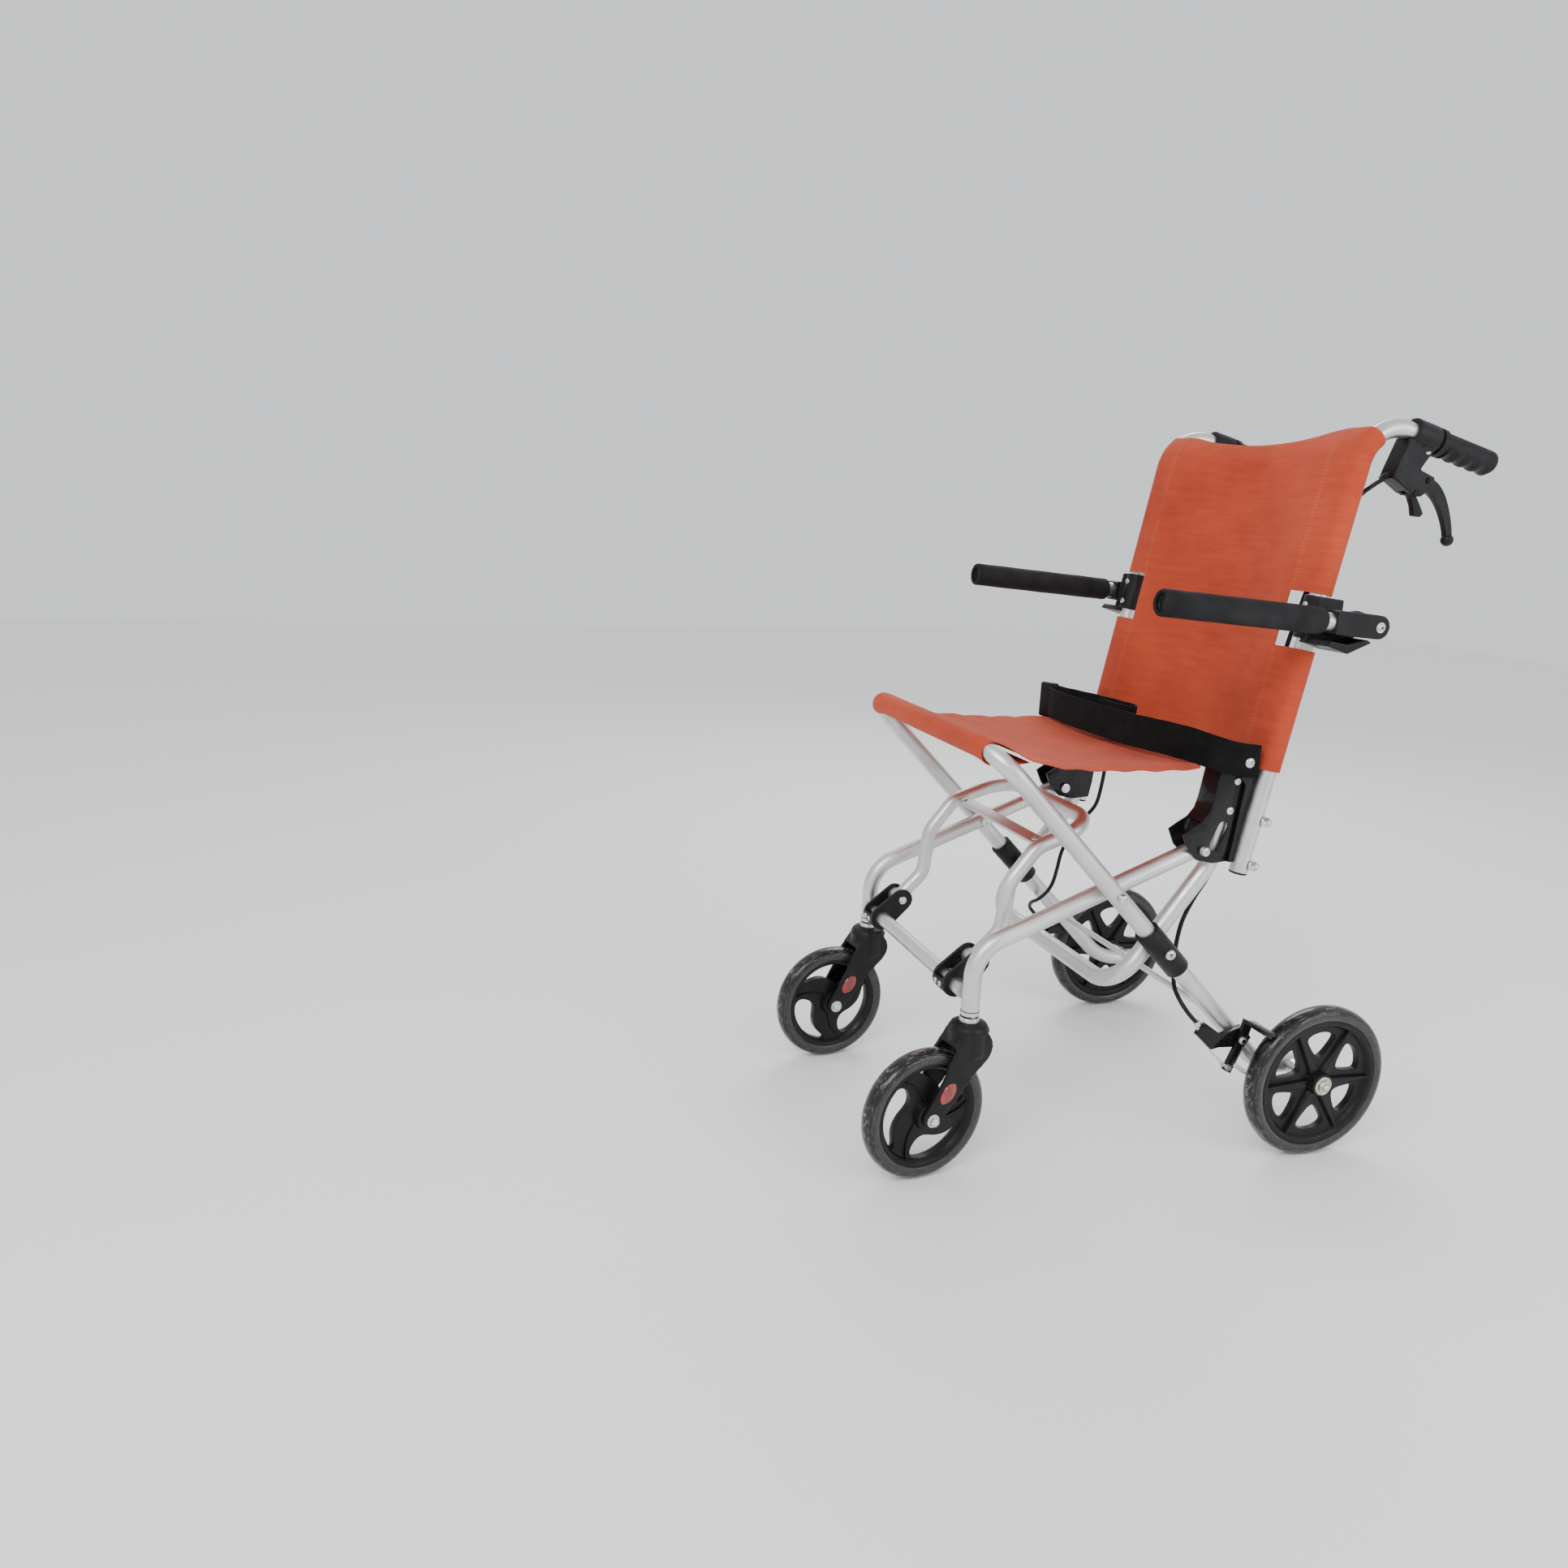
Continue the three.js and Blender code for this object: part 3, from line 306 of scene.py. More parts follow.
FINISHES = {
    "aluminium": grained("satin_aluminium", "satin_aluminium", 0.42, 1.0,
                         (14, 4, (0.3, (0.6, 0.6, 0.59)), (0.7, (0.72, 0.72, 0.71))), (60, 5, 0.36, 0.5),
                         (2200, 2, 0.12, 0.00008)),
    "zinc": grained("zinc", "zinc", 0.3, 1.0, (160, 4, (0.3, (0.55, 0.56, 0.57)), (0.7, (0.78, 0.78, 0.77))),
                    (300, 4, 0.2, 0.42), (900, 3, 0.2, 0.0001)),
    "bronze": grained("bearing_bronze", "zinc", 0.35, 1.0,
                      (220, 4, (0.3, (0.46, 0.39, 0.25)), (0.7, (0.66, 0.6, 0.44))), (300, 4, 0.25, 0.45),
                      (900, 3, 0.2, 0.0001)),
    "plastic": plastic("black_plastic", "black_plastic", (0.005, 0.005, 0.006), (0.013, 0.013, 0.014), 0.42, 0.3),
    "rim": plastic("black_rim", "black_rim", (0.004, 0.004, 0.005), (0.011, 0.011, 0.012), 0.36, 0.25),
    "grip": plastic("grip_rubber", "black_plastic", (0.006, 0.006, 0.007), (0.016, 0.016, 0.018), 0.5, 0.4),
    "jacket": plastic("cable_jacket", "cable_jacket", (0.005, 0.005, 0.006), (0.015, 0.015, 0.016), 0.28, 0.15),
    "gloss": grained("gloss_black", "gloss_black", 0.16, 0.0,
                     (50, 4, (0.3, (0.004, 0.004, 0.005)), (0.8, (0.012, 0.012, 0.013))), (120, 4, 0.12, 0.26),
                     (240, 2, 0.12, 0.0003), Specular_IOR_Level=0.16, Coat_Weight=0.2, Coat_Roughness=0.04),
    "tyre": tyre(),
    "foam": foam(),
    "fabric": woven("orange_fabric", "orange_fabric", (0.36, 0.043, 0.018), (0.55, 0.08, 0.035), 0.0012, 0.06),
    "thread": woven("orange_thread", "orange_fabric", (0.48, 0.09, 0.045), (0.7, 0.18, 0.09), 0.0006, 0.1),
    "webbing": webbing(),
    "reflector": reflector(),
}


# ------------------------------------------------------------------ mesh helpers
@contextmanager
def editing(mesh):
    work = bmesh.new()
    work.from_mesh(mesh)
    yield work
    work.to_mesh(mesh)
    work.free()


def dress(obj, finish, sharp=35):
    obj.data.materials.clear()
    obj.data.materials.append(FINISHES[finish].mat)
    obj.data.shade_smooth()
    obj.data.set_sharp_from_angle(angle=radians(sharp))


def settle(obj, body, nodes=()):
    """Put a piece on its body, in the place of its CAD nodes."""
    if body:
        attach(obj, body)
    if nodes:
        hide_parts(*nodes)
    return obj


def piece(name, solid, finish, body=None, replaces=(), sharp=35):
    """A closed solid or an open sheet, given as its points and faces, with its faces turned outward."""
    verts, faces = solid
    mesh = bpy.data.meshes.new(name)
    mesh.from_pydata([tuple(v) for v in verts], [], faces)
    mesh.validate()
    with editing(mesh) as work:
        bmesh.ops.recalc_face_normals(work, faces=work.faces)
    obj = new_object(name, mesh)
    dress(obj, finish, sharp)
    return settle(obj, body, replaces)


def bake(obj, *modifiers):
    for kind, settings in modifiers:
        made = obj.modifiers.new(kind.lower(), kind)
        for key, value in settings.items():
            setattr(made, key, value)
    graph = bpy.context.evaluated_depsgraph_get()
    graph.update()
    mesh = bpy.data.meshes.new_from_object(obj.evaluated_get(graph))
    obj.modifiers.clear()
    obj.data = mesh


def bevel(width, segments=2, angle=32):
    return ("BEVEL", {"width": width, "segments": segments, "limit_method": "ANGLE",
        "angle_limit": radians(angle), "use_clamp_overlap": True})


def joined(*solids):
    verts, faces = [], []
    for more, sides in solids:
        base = len(verts)
        verts.extend(more)
        faces.extend([tuple(i + base for i in face) for face in sides])
    return verts, faces


def at(x, point):
    return Vector((x, point[0], point[1]))


def bent(corners, radii, steps=10):
    """Points along straight runs and round bends."""
    line = [corners[0]]
    for before, corner, after, radius in zip(corners, corners[1:], corners[2:], radii):
        back, ahead = (before - corner).normalized(), (after - corner).normalized()
        half = back.angle(ahead) / 2
        centre = corner + (back + ahead).normalized() * (radius / sin(half))
        start = corner + back * (radius / tan(half)) - centre
        end = corner + ahead * (radius / tan(half)) - centre
        sweep = pi - 2 * half
        for i in range(steps + 1):
            t = sweep * i / steps
            line.append(centre + (start * sin(sweep - t) + end * sin(t)) / sin(sweep))
    line.append(corners[-1])
    return line


def frames_along(line):
    """A tangent and a cross direction at each point, carried along without twist."""
    tangents = []
    for i in range(len(line)):
        a, b = line[max(i - 1, 0)], line[min(i + 1, len(line) - 1)]
        before = (line[i] - a).normalized() if i else (b - line[i]).normalized()
        after = (b - line[i]).normalized() if i < len(line) - 1 else before
        tangents.append((before + after).normalized())
    side = tangents[0].orthogonal().normalized()
    sides = []
    for tangent in tangents:
        side = (side - tangent * side.dot(tangent)).normalized()
        sides.append(side)
    return tangents, sides


def skin(count, around):
    """The faces over a run of rings, closed at both ends."""
    faces = [(a, b, b + around, a + around) for i in range(count - 1) for k in range(around) for a,
        b in [(i * around + k, i * around + (k + 1) % around)]]
    last = (count - 1) * around
    return faces + [tuple(range(around - 1, -1, -1)), tuple(range(last, last + around))]


def ring(centre, side, other, radius, around):
    """Points round a centre, in the plane of two unit directions."""
    turns = [2 * pi * k / around for k in range(around)]
    return [centre + (side * cos(a) + other * sin(a)) * radius for a in turns]


def tube(line, radius, around=28):
    """A round bar along a line."""
    tangents, sides = frames_along(line)
    verts = []
    for point, tangent, side in zip(line, tangents, sides):
        verts += ring(point, side, tangent.cross(side), radius, around)
    return verts, skin(len(line), around)


def square_to(axis):
    """The axis and two directions across it, all of unit length."""
    axis = Vector(axis).normalized()
    side = axis.orthogonal().normalized()
    return axis, side, axis.cross(side)


def lathe(profile, origin, axis, around=48):
    """A turned solid: profile points are (radius, distance along axis), closing on the axis or on itself."""
    axis, side, other = square_to(axis)
    closed = profile[0] == profile[-1]
    rows = profile[:-1] if closed else profile
    verts, starts = [], []
    for radius, height in rows:
        starts.append(len(verts))
        centre = Vector(origin) + axis * height
        verts += ring(centre, side, other, radius, around) if radius else [centre]
    faces = []
    count = len(rows)
    for i in range(count if closed else count - 1):
        j = (i + 1) % count
        low, high = rows[i][0] == 0, rows[j][0] == 0
        for k in range(around):
            m = (k + 1) % around
            a, b = starts[i] + (0 if low else k), starts[i] + (0 if low else m)
            c, d = starts[j] + (0 if high else m), starts[j] + (0 if high else k)
            if not (low and high):
                faces.append((a, c, d) if low else (a, b, c) if high else (a, b, c, d))
    return verts, faces


def disc(place, axis, radius, height, around=24, start=0):
    return lathe([(0, start), (radius, start), (radius, height), (0, height)], place, axis, around)


def prism(outline, x0, x1):
    """A plate in the side view: outline points are (y, z)."""
    count = len(outline)
    verts = [Vector((x0, y, z)) for y, z in outline] + [Vector((x1, y, z)) for y, z in outline]
    faces = [tuple(range(count)), tuple(range(2 * count - 1, count - 1, -1))]
    faces += [(i, i + count, (i + 1) % count + count, (i + 1) % count) for i in range(count)]
    return verts, faces


def box(centre, size, turn=None):
    half = Vector(size) / 2
    corners = [Vector((sx * half.x, sy * half.y, sz * half.z)) for sx in (-1, 1) for sy in (-1, 1)
        for sz in (-1, 1)]
    if turn is not None:
        corners = [turn @ c for c in corners]
    verts = [c + Vector(centre) for c in corners]
    faces = [(0, 1, 3, 2), (4, 6, 7, 5), (0, 4, 5, 1), (2, 3, 7, 6), (0, 2, 6, 4), (1, 5, 7, 3)]
    return verts, faces


def copy_of(node, name):
    source = frame["nodes"][node]
    obj = new_object(name, source.data.copy())
    obj.matrix_world = source.matrix_world.copy()
    with editing(obj.data) as work:
        bmesh.ops.remove_doubles(work, verts=work.verts, dist=1e-6)
        bmesh.ops.dissolve_limit(work, angle_limit=radians(1.0), verts=work.verts, edges=work.edges)
    return obj


def reworked(node, ending, finish, sharp, *modifiers):
    obj = copy_of(node, node + ending)
    bake(obj, *modifiers)
    dress(obj, finish, sharp)
    bodies = frame["record"]["behaviour"]["bodies"]
    return settle(obj, next(body for body, nodes in bodies.items() if node in nodes), [node])


def softened(node, finish, width=0.0007, segments=2):
    """The CAD solid with its edges broken, as a machined or moulded part's are."""
    reworked(node, "_finished", finish, 35, bevel(width, segments))


def moulded(node, finish, voxel=0.0011, passes=8):
    """The CAD solid with its edges rounded over, as an injection moulding's are."""
    reworked(node, "_moulded", finish, 60, ("REMESH", {"mode": "VOXEL", "voxel_size": voxel}), ("SMOOTH",
        {"factor": 0.5, "iterations": passes}), ("DECIMATE", {"ratio": 0.35}))


# ------------------------------------------------------------------ the frame's lines, as in the CAD part
TUBE = 0.011
THIN = 0.0095
REAR_X, LEG_X, SUPPORT_X, BACK_X, ARM_X, FOOT_X, WHEEL_X = 0.1905, 0.167, 0.163, 0.187, 0.228, 0.119, 0.24
SLOPE = radians(45.6)
DOWN = Vector((cos(SLOPE), -sin(SLOPE)))
ACROSS = Vector((sin(SLOPE), cos(SLOPE)))
CROSS = Vector((-0.0785, 0.345))
SLEEVE = CROSS + DOWN * 0.102
LEG_PIVOT = CROSS + DOWN * 0.051 + ACROSS * 0.12
AXLE = Vector((0.205, 0.1))
SEAT_BAR = Vector((-0.2526, CROSS.y + tan(SLOPE) * (CROSS.x + 0.2526)))
TAIL = Vector((CROSS.x + (CROSS.y - AXLE.y) / tan(SLOPE), AXLE.y))
TAIL_END = Vector((0.221, 0.1))
HINGE = Vector((0.082, 0.5045))
BACK_FOOT = Vector((0.092, 0.366))
HANDLE_CORNER = Vector((0.1927, 0.9096))
HANDLE_DROP = 0.241
ARM_PIVOT = Vector((0.2, 0.672))
ARM_FRONT = Vector((-0.09, 0.6955))
CROSS_TUBE = Vector((-0.253, 0.225))
FOOT_PIVOT = Vector((-0.225, 0.25))
STEM_Y = -0.248
BACK_FACE = Vector((0, -0.9833, 0.1822))


def back_y(z):
    return BACK_FOOT.x + 0.1853 * (z - BACK_FOOT.y)


def handle_z(y):
    return HANDLE_CORNER.y - HANDLE_DROP * (y - HANDLE_CORNER.x)


def add_tubes():
    run = (LEG_PIVOT - CROSS).normalized()
    knee = Vector((STEM_Y, CROSS.y + run.y / run.x * (STEM_Y - CROSS.x)))
    for side, sign in SIDES:
        x = sign * LEG_X
        line = bent([at(x, (STEM_Y, 0.2055)), at(x, knee), at(x, LEG_PIVOT + run * 0.009)], [0.05], 14)
        piece(f"front_leg_tube_{side}", tube(line, TUBE), "aluminium", "front_frame", [f"front_leg_{side}"])
        x = sign * BACK_X
        line = bent([at(x, BACK_FOOT), at(x, HANDLE_CORNER), at(x, (0.366, handle_z(0.366)))], [0.052], 18)
        piece(f"back_upright_{side}", tube(line, TUBE), "aluminium", "back_frame", [f"back_tube_{side}"])
        cap = BACK_FOOT - Vector((0.1822, 0.9833)) * 0.003
        plug = [(0, 0), (0.0085, 0), (0.0108, 0.0008), (0.0112, 0.0022), (0.0108, 0.0034), (0, 0.0034)]
        piece(f"back_foot_plug_{side}", lathe(plug, at(x, cap), (0, 0.1822, 0.9833)), "plastic", "back_frame")
        plug = [(0, 0), (0.0112, 0), (0.0112, 0.003), (0.0095, 0.0045), (0, 0.005)]
        piece(f"tail_plug_{side}", lathe(plug, at(sign * REAR_X, TAIL_END), (0, 1, 0)), "plastic",
            "rear_frame")
    reach = LEG_X - 0.0105
    line = [at(-reach, CROSS_TUBE), at(reach, CROSS_TUBE)]
    piece("front_cross_bar", tube(line, THIN), "aluminium", "front_frame", ["front_cross_tube"])
    x = REAR_X
    line = bent([at(x, TAIL_END), at(x, TAIL), at(x, SEAT_BAR), at(-x, SEAT_BAR), at(-x, TAIL), at(-x,
        TAIL_END)], [0.08, 0.048, 0.048, 0.08], 14)
    piece("seat_frame_tube", tube(line, TUBE), "aluminium", "rear_frame", ["seat_frame_hoop"])
    foot, bend, top = (-0.0509, 0.214), (0.0674, 0.371), (0.076, 0.447)
    x = SUPPORT_X
    line = bent([at(x, top), at(x, bend), at(x, foot), at(-x, foot), at(-x, bend), at(-x, top)], [0.06, 0.046,
        0.046, 0.06], 14)
    piece("support_tube", tube(line, TUBE), "aluminium", "support_frame", ["support_hoop"])
    leg = [FOOT_PIVOT, Vector((-0.19, 0.284)), Vector((-0.184, 0.345)), Vector((-0.15, 0.388)),
        Vector((-0.071, 0.416))]
    x = FOOT_X
    line = bent([at(x, p) for p in leg] + [at(-x, p) for p in reversed(leg)], [0.03, 0.034, 0.034, 0.046,
        0.046, 0.034, 0.034, 0.03], 10)
    strip = piece("footrest_strip", box((0, -0.141, 0.391), (0.229, 0.0175, 0.005), Matrix.Rotation(0.35, 3,
        "X")), "aluminium", "footrest")
    bake(strip, bevel(0.0022, 3))
    dress(strip, "aluminium", 40)
    rivets = [screw_head((h, -0.1428, 0.3938), (0, -0.343, 0.939), 0.0042, 0.0016) for h in (0.1, -0.1)]
    piece("footrest_rivets", joined(*rivets), "zinc", "footrest")
    parts = [tube(line, THIN, 24)]
    for h in (x, -x):
        parts.append(tube([at(h - 0.0104, FOOT_PIVOT), at(h + 0.0104, FOOT_PIVOT)], 0.011))
        parts.append(tube([at(h - 0.0195, FOOT_PIVOT), at(h + 0.0195, FOOT_PIVOT)], 0.004))
    piece("footrest_loop", joined(*parts), "aluminium", "footrest", ["footrest_hoop"])
    softened("rear_cross_bar", "aluminium", 0.0008)


# ------------------------------------------------------------------ wheels
def rounded(points, steps=5):
    """A closed outline through the middles of its sides, with each corner rounded over."""
    out = []
    count = len(points)
    for i in range(count):
        a = (points[i - 1] + points[i]) / 2
        b = (points[i] + points[(i + 1) % count]) / 2
        for k in range(steps):
            t = k / steps
            out.append(a * (1 - t) ** 2 + points[i] * 2 * t * (1 - t) + b * t * t)
    return out


def polar(corners):
    return [Vector((r * cos(a), r * sin(a))) for a, r in corners]


def rim(name, size, opening, spokes, phase, rib, place, axis):
    """A moulded wheel: hub, web, tyre seat and the openings between its spokes, with raised ribs."""
    outer, inner, ring_half, web_half, hub, hub_half, bore = size
    half = [(bore, -hub_half), (hub * 0.8, -hub_half), (hub, -hub_half + 0.001), (hub + 0.002, -web_half),
        (inner - 0.002, -web_half), (inner + 0.001, -ring_half + 0.001), (inner + 0.003, -ring_half), (outer,
        -ring_half)]
    wheel = piece(name, lathe(mirrored(half), (0, 0, 0), (1, 0, 0), 96), "rim")
    phases = [phase + 2 * pi * i / spokes for i in range(spokes)]
    cutters = []
    for angle in phases:
        turn = Matrix.Rotation(angle, 2)
        cutters.append(prism([turn @ p for p in rounded(polar(opening))], -0.03, 0.03))
    cutter = piece(name + "_cutter", joined(*cutters), "rim")
    bake(wheel, ("BOOLEAN", {"operation": "DIFFERENCE", "solver": "EXACT", "object": cutter}))
    bpy.data.objects.remove(cutter)
    bake(wheel, bevel(0.0012, 3, 35))
    start, end, wide, narrow, rise, shift, curl = rib
    ribs = []
    for middle, face in ((angle + shift, face) for angle in phases for face in (-1, 1)):
        verts = []
        for k in range(9):
            t = k / 8
            away, tangent = polar([(middle + curl * t, 1), (middle + curl * t + pi / 2, 1)])
            for s, h in ((-1.0, -0.4), (-0.55, 1.0), (0.55, 1.0), (1.0, -0.4)):
                p = away * (start + (end - start) * t) + tangent * (wide + (narrow - wide) * t) / 2 * s
                verts.append(at(face * (web_half + rise * h), p))
        ribs.append((verts, skin(9, 4)))
    ribbing = piece(name + "_ribs", joined(*ribs), "rim")
    bake(ribbing, bevel(0.0007, 2, 25))
    with editing(wheel.data) as work:
        work.from_mesh(ribbing.data)
    bpy.data.objects.remove(ribbing)
    dress(wheel, "rim", 40)
    turn = Vector((1, 0, 0)).rotation_difference(Vector(axis)).to_matrix().to_4x4()
    wheel.data.transform(Matrix.Translation(place) @ turn)
    return wheel


def mirrored(half):
    """A closed profile from its half on the low side."""
    return half + [(radius, -height) for radius, height in reversed(half)] + half[:1]


# the tyre's round: how far below its top, and how far across as a share of its half width
TYRE_ROUND = ((0.012, 0.99), (0.0085, 1), (0.0055, 0.93), (0.0028, 0.76), (0.0011, 0.5), (0.0002, 0.22))


def tyre_ring(name, outer, inner, half, place, axis):
    low = [(inner, -half * 0.86)] + [(outer - depth, -half * share) for depth, share in TYRE_ROUND]
    profile = low + [(outer, 0)] + mirrored(low)[len(low):]
    around = 128
    made = piece(name, lathe(profile, place, axis, around), "tyre", sharp=30)
    layer = made.data.uv_layers.new(name="flat")
    for face in made.data.polygons:
        columns = [made.data.loops[i].vertex_index % around for i in face.loop_indices]
        wraps = max(columns) - min(columns) > 1
        for i, column in zip(face.loop_indices, columns):
            radius = profile[made.data.loops[i].vertex_index // around][0]
            turned = column + around if wraps and column == 0 else column
            layer.data[i].uv = ((radius - inner) / (outer - inner), turned / around)
    return made


def hex_nut(place, axis, across, height, dome):
    """A nut with a domed end, seated at place."""
    axis, side, other = square_to(axis)
    place = Vector(place)
    verts = ring(place, side, other, across / 2, 6) + ring(place + axis * height, side, other, across / 2, 6)
    cap = [(0, height * 0.9), (across * 0.42, height * 0.9), (across * 0.42, height + dome * 0.2),
        (across * 0.34, height + dome * 0.65), (across * 0.19, height + dome * 0.93), (0, height + dome)]
    return joined((verts, skin(2, 6)), lathe(cap, place, axis, 20))


def cross_recess_head():
    """A pan head of unit radius and height with its cross recess cut."""
    rows = [(0, 0), (1, 0), (1, 0.35), (0.95, 0.62), (0.8, 0.86), (0.5, 1.0), (0, 1.05)]
    head = piece("pan_head", lathe(rows, (0, 0, 0), (0, 0, 1), 24), "zinc")
    arms = joined(box((0, 0, 1.0), (1.15, 0.27, 1.0)), box((0, 0, 1.0), (0.27, 1.15, 1.0)))
    cutter = piece("pan_head_recess", arms, "zinc")
    bake(head, ("BOOLEAN", {"operation": "DIFFERENCE", "solver": "EXACT", "use_self": True,
        "object": cutter}))
    solid = [v.co.copy() for v in head.data.vertices], [tuple(f.vertices) for f in head.data.polygons]
    bpy.data.objects.remove(cutter)
    bpy.data.objects.remove(head)
    return solid


PAN_HEAD = cross_recess_head()


def screw_head(place, axis, radius, height):
    axis, side, other = square_to(axis)
    turn = Matrix((side, other, axis)).transposed()
    verts, faces = PAN_HEAD
    return [Vector(place) + turn @ Vector((v.x * radius, v.y * radius, v.z * height)) for v in verts], faces


# turned profiles of small parts: (radius, distance along the axis)
BEARING = [(0.0075, 0.0145), (0.0115, 0.0145), (0.0122, 0.0152), (0.0122, 0.0186), (0.0112, 0.019), (0.0104,
    0.0184), (0.0094, 0.0184), (0.0086, 0.0188), (0.0075, 0.0186), (0.0075, 0.0145)]
FORK_GROOVE = [(0.0242, 0.18), (0.025, 0.1806), (0.0251, 0.1816), (0.0246, 0.183), (0.0238, 0.1834), (0.0236,
    0.1806), (0.0242, 0.18)]
STEM_NUT = [(0, 0.1912), (0.0116, 0.1912), (0.0122, 0.1918), (0.0122, 0.1962), (0.0116, 0.197), (0.0108,
    0.1974), (0.0108, 0.1994), (0.0116, 0.2), (0.0118, 0.2046), (0, 0.2047)]
LENS = [(0, 0), (0.0115, 0), (0.0115, 0.0016), (0.0105, 0.0026), (0, 0.0032)]


def add_wheels():
    size = (0.084, 0.076, 0.011, 0.0048, 0.0145, 0.018, 0.0063)
    half = pi / 6
    opening = [(-0.12, 0.033), (-0.33, 0.05), (-0.37, 0.065), (0, 0.069), (0.37, 0.065), (0.33, 0.05), (0.12,
        0.033)]
    rib = (0.013, 0.0785, 0.015, 0.0042, 0.005, half, 0.0)
    for side, sign in SIDES:
        place = at(sign * WHEEL_X, AXLE)
        body = f"rear_wheel_{side}"
        settle(rim(f"rear_wheel_rim_{side}", size, opening, 6, half, rib, place, (1, 0, 0)), body,
            [f"rear_rim_{side}"])
        settle(tyre_ring(f"rear_wheel_tyre_{side}", 0.1, 0.0843, 0.0128, place, (1, 0, 0)), body,
            [f"rear_tyre_{side}"])
        out = Vector((sign, 0, 0))
        piece(f"rear_bearing_{side}", lathe(BEARING, place, out), "bronze", body)
        start = REAR_X + TUBE + 0.0003
        shaft = [(0, 0), (0.011, 0), (0.011, 0.0185), (0.0095, 0.0199), (0.006, 0.0199), (0.006,
            WHEEL_X + 0.0184 - start), (0.007, WHEEL_X + 0.0186 - start), (0.007, WHEEL_X + 0.0198 - start),
            (0, WHEEL_X + 0.0198 - start)]
        nut = hex_nut(at(sign * (WHEEL_X + 0.0198), AXLE), out, 0.0112, 0.004, 0.003)
        axle = joined(lathe(shaft, at(sign * start, AXLE), out), nut)
        piece(f"rear_axle_set_{side}", axle, "zinc", "rear_frame", [f"rear_axle_{side}"])
        add_caster(side, sign)


CASTER_TURN = {"L": 0.153, "R": 0.112}
CASTER_SPIN = {"L": 0.52, "R": 1.22}
TRAIL = 0.0566
CASTER_R = 0.082


def add_caster(side, sign):
    stem = Vector((sign * LEG_X, STEM_Y, 0))
    turn = Matrix.Rotation(CASTER_TURN[side], 3, "Z")
    axis = turn @ Vector((1, 0, 0))
    centre = stem + turn @ Vector((0, -TRAIL, CASTER_R))
    opening = [(-0.15, 0.028), (0.15, 0.028), (0.5, 0.036), (0.85, 0.046), (1.3, 0.056), (1.15, 0.059), (0.7,
        0.0592), (0.2, 0.0592), (-0.22, 0.0585), (-0.4, 0.05), (-0.36, 0.035)]
    size = (0.066, 0.06, 0.011, 0.0048, 0.0155, 0.0155, 0.0043)
    rib = (0.015, 0.06, 0.004, 0.003, 0.0028, -0.95, 0.55)
    wheel = rim(f"caster_wheel_rim_{side}", size, opening, 3, CASTER_SPIN[side], rib, centre, axis)
    settle(wheel, f"caster_wheel_{side}", [f"caster_rim_{side}"])
    settle(tyre_ring(f"caster_wheel_tyre_{side}", CASTER_R, 0.0663, 0.0128, centre, axis),
        f"caster_wheel_{side}", [f"caster_tyre_{side}"])
    body = f"caster_{side}"
    moulded(f"caster_fork_{side}", "plastic", 0.0013, 7)
    piece(f"fork_collar_{side}", lathe(FORK_GROOVE, stem, (0, 0, 1)), "plastic", body)
    piece(f"stem_nut_{side}", lathe(STEM_NUT, stem, (0, 0, 1)), "zinc", body)
    parts = [tube([centre - axis * 0.0225, centre + axis * 0.0225], 0.0039, 20)]
    lenses = []
    lean = Matrix.Rotation(-0.62, 3, "X")
    for direction in (1, -1):
        out = axis * direction
        parts += [disc(centre, out, 0.0082, 0.0234, 28, 0.0222), hex_nut(centre + out * 0.0234, out, 0.0125,
            0.0042, 0.0026)]
        verts, faces = lathe(LENS, (0, 0, 0), (1, 0, 0), 40)
        place = stem + turn @ Vector((direction * 0.021, -0.0375, 0.113))
        stretched = [Vector((direction * v.x, v.y * 0.78, v.z * 1.25)) for v in verts]
        lenses.append(([place + turn @ (lean @ v) for v in stretched], faces))
    piece(f"caster_bolt_{side}", joined(*parts), "zinc", body, [f"caster_axle_{side}"])
    piece(f"fork_reflectors_{side}", joined(*lenses), "reflector", body)


# ------------------------------------------------------------------ screws, pins and small hardware
# how each machined or folded piece is finished: material, width of its broken edges, segments
EDGES = {"side_bracket": ("gloss", 0.0012, 3), "back_hinge": ("gloss", 0.0008, 2),
    "cross_pivot_bolt": ("zinc", 0.0005, 2), "leg_pivot_bolt": ("zinc", 0.0005, 2),
    "slide_sleeve": ("plastic", 0.0006, 2), "footrest_hinge": ("plastic", 0.0014, 3),
    "brake_bracket": ("gloss", 0.0006, 2), "brake_arm": ("gloss", 0.0006, 2)}


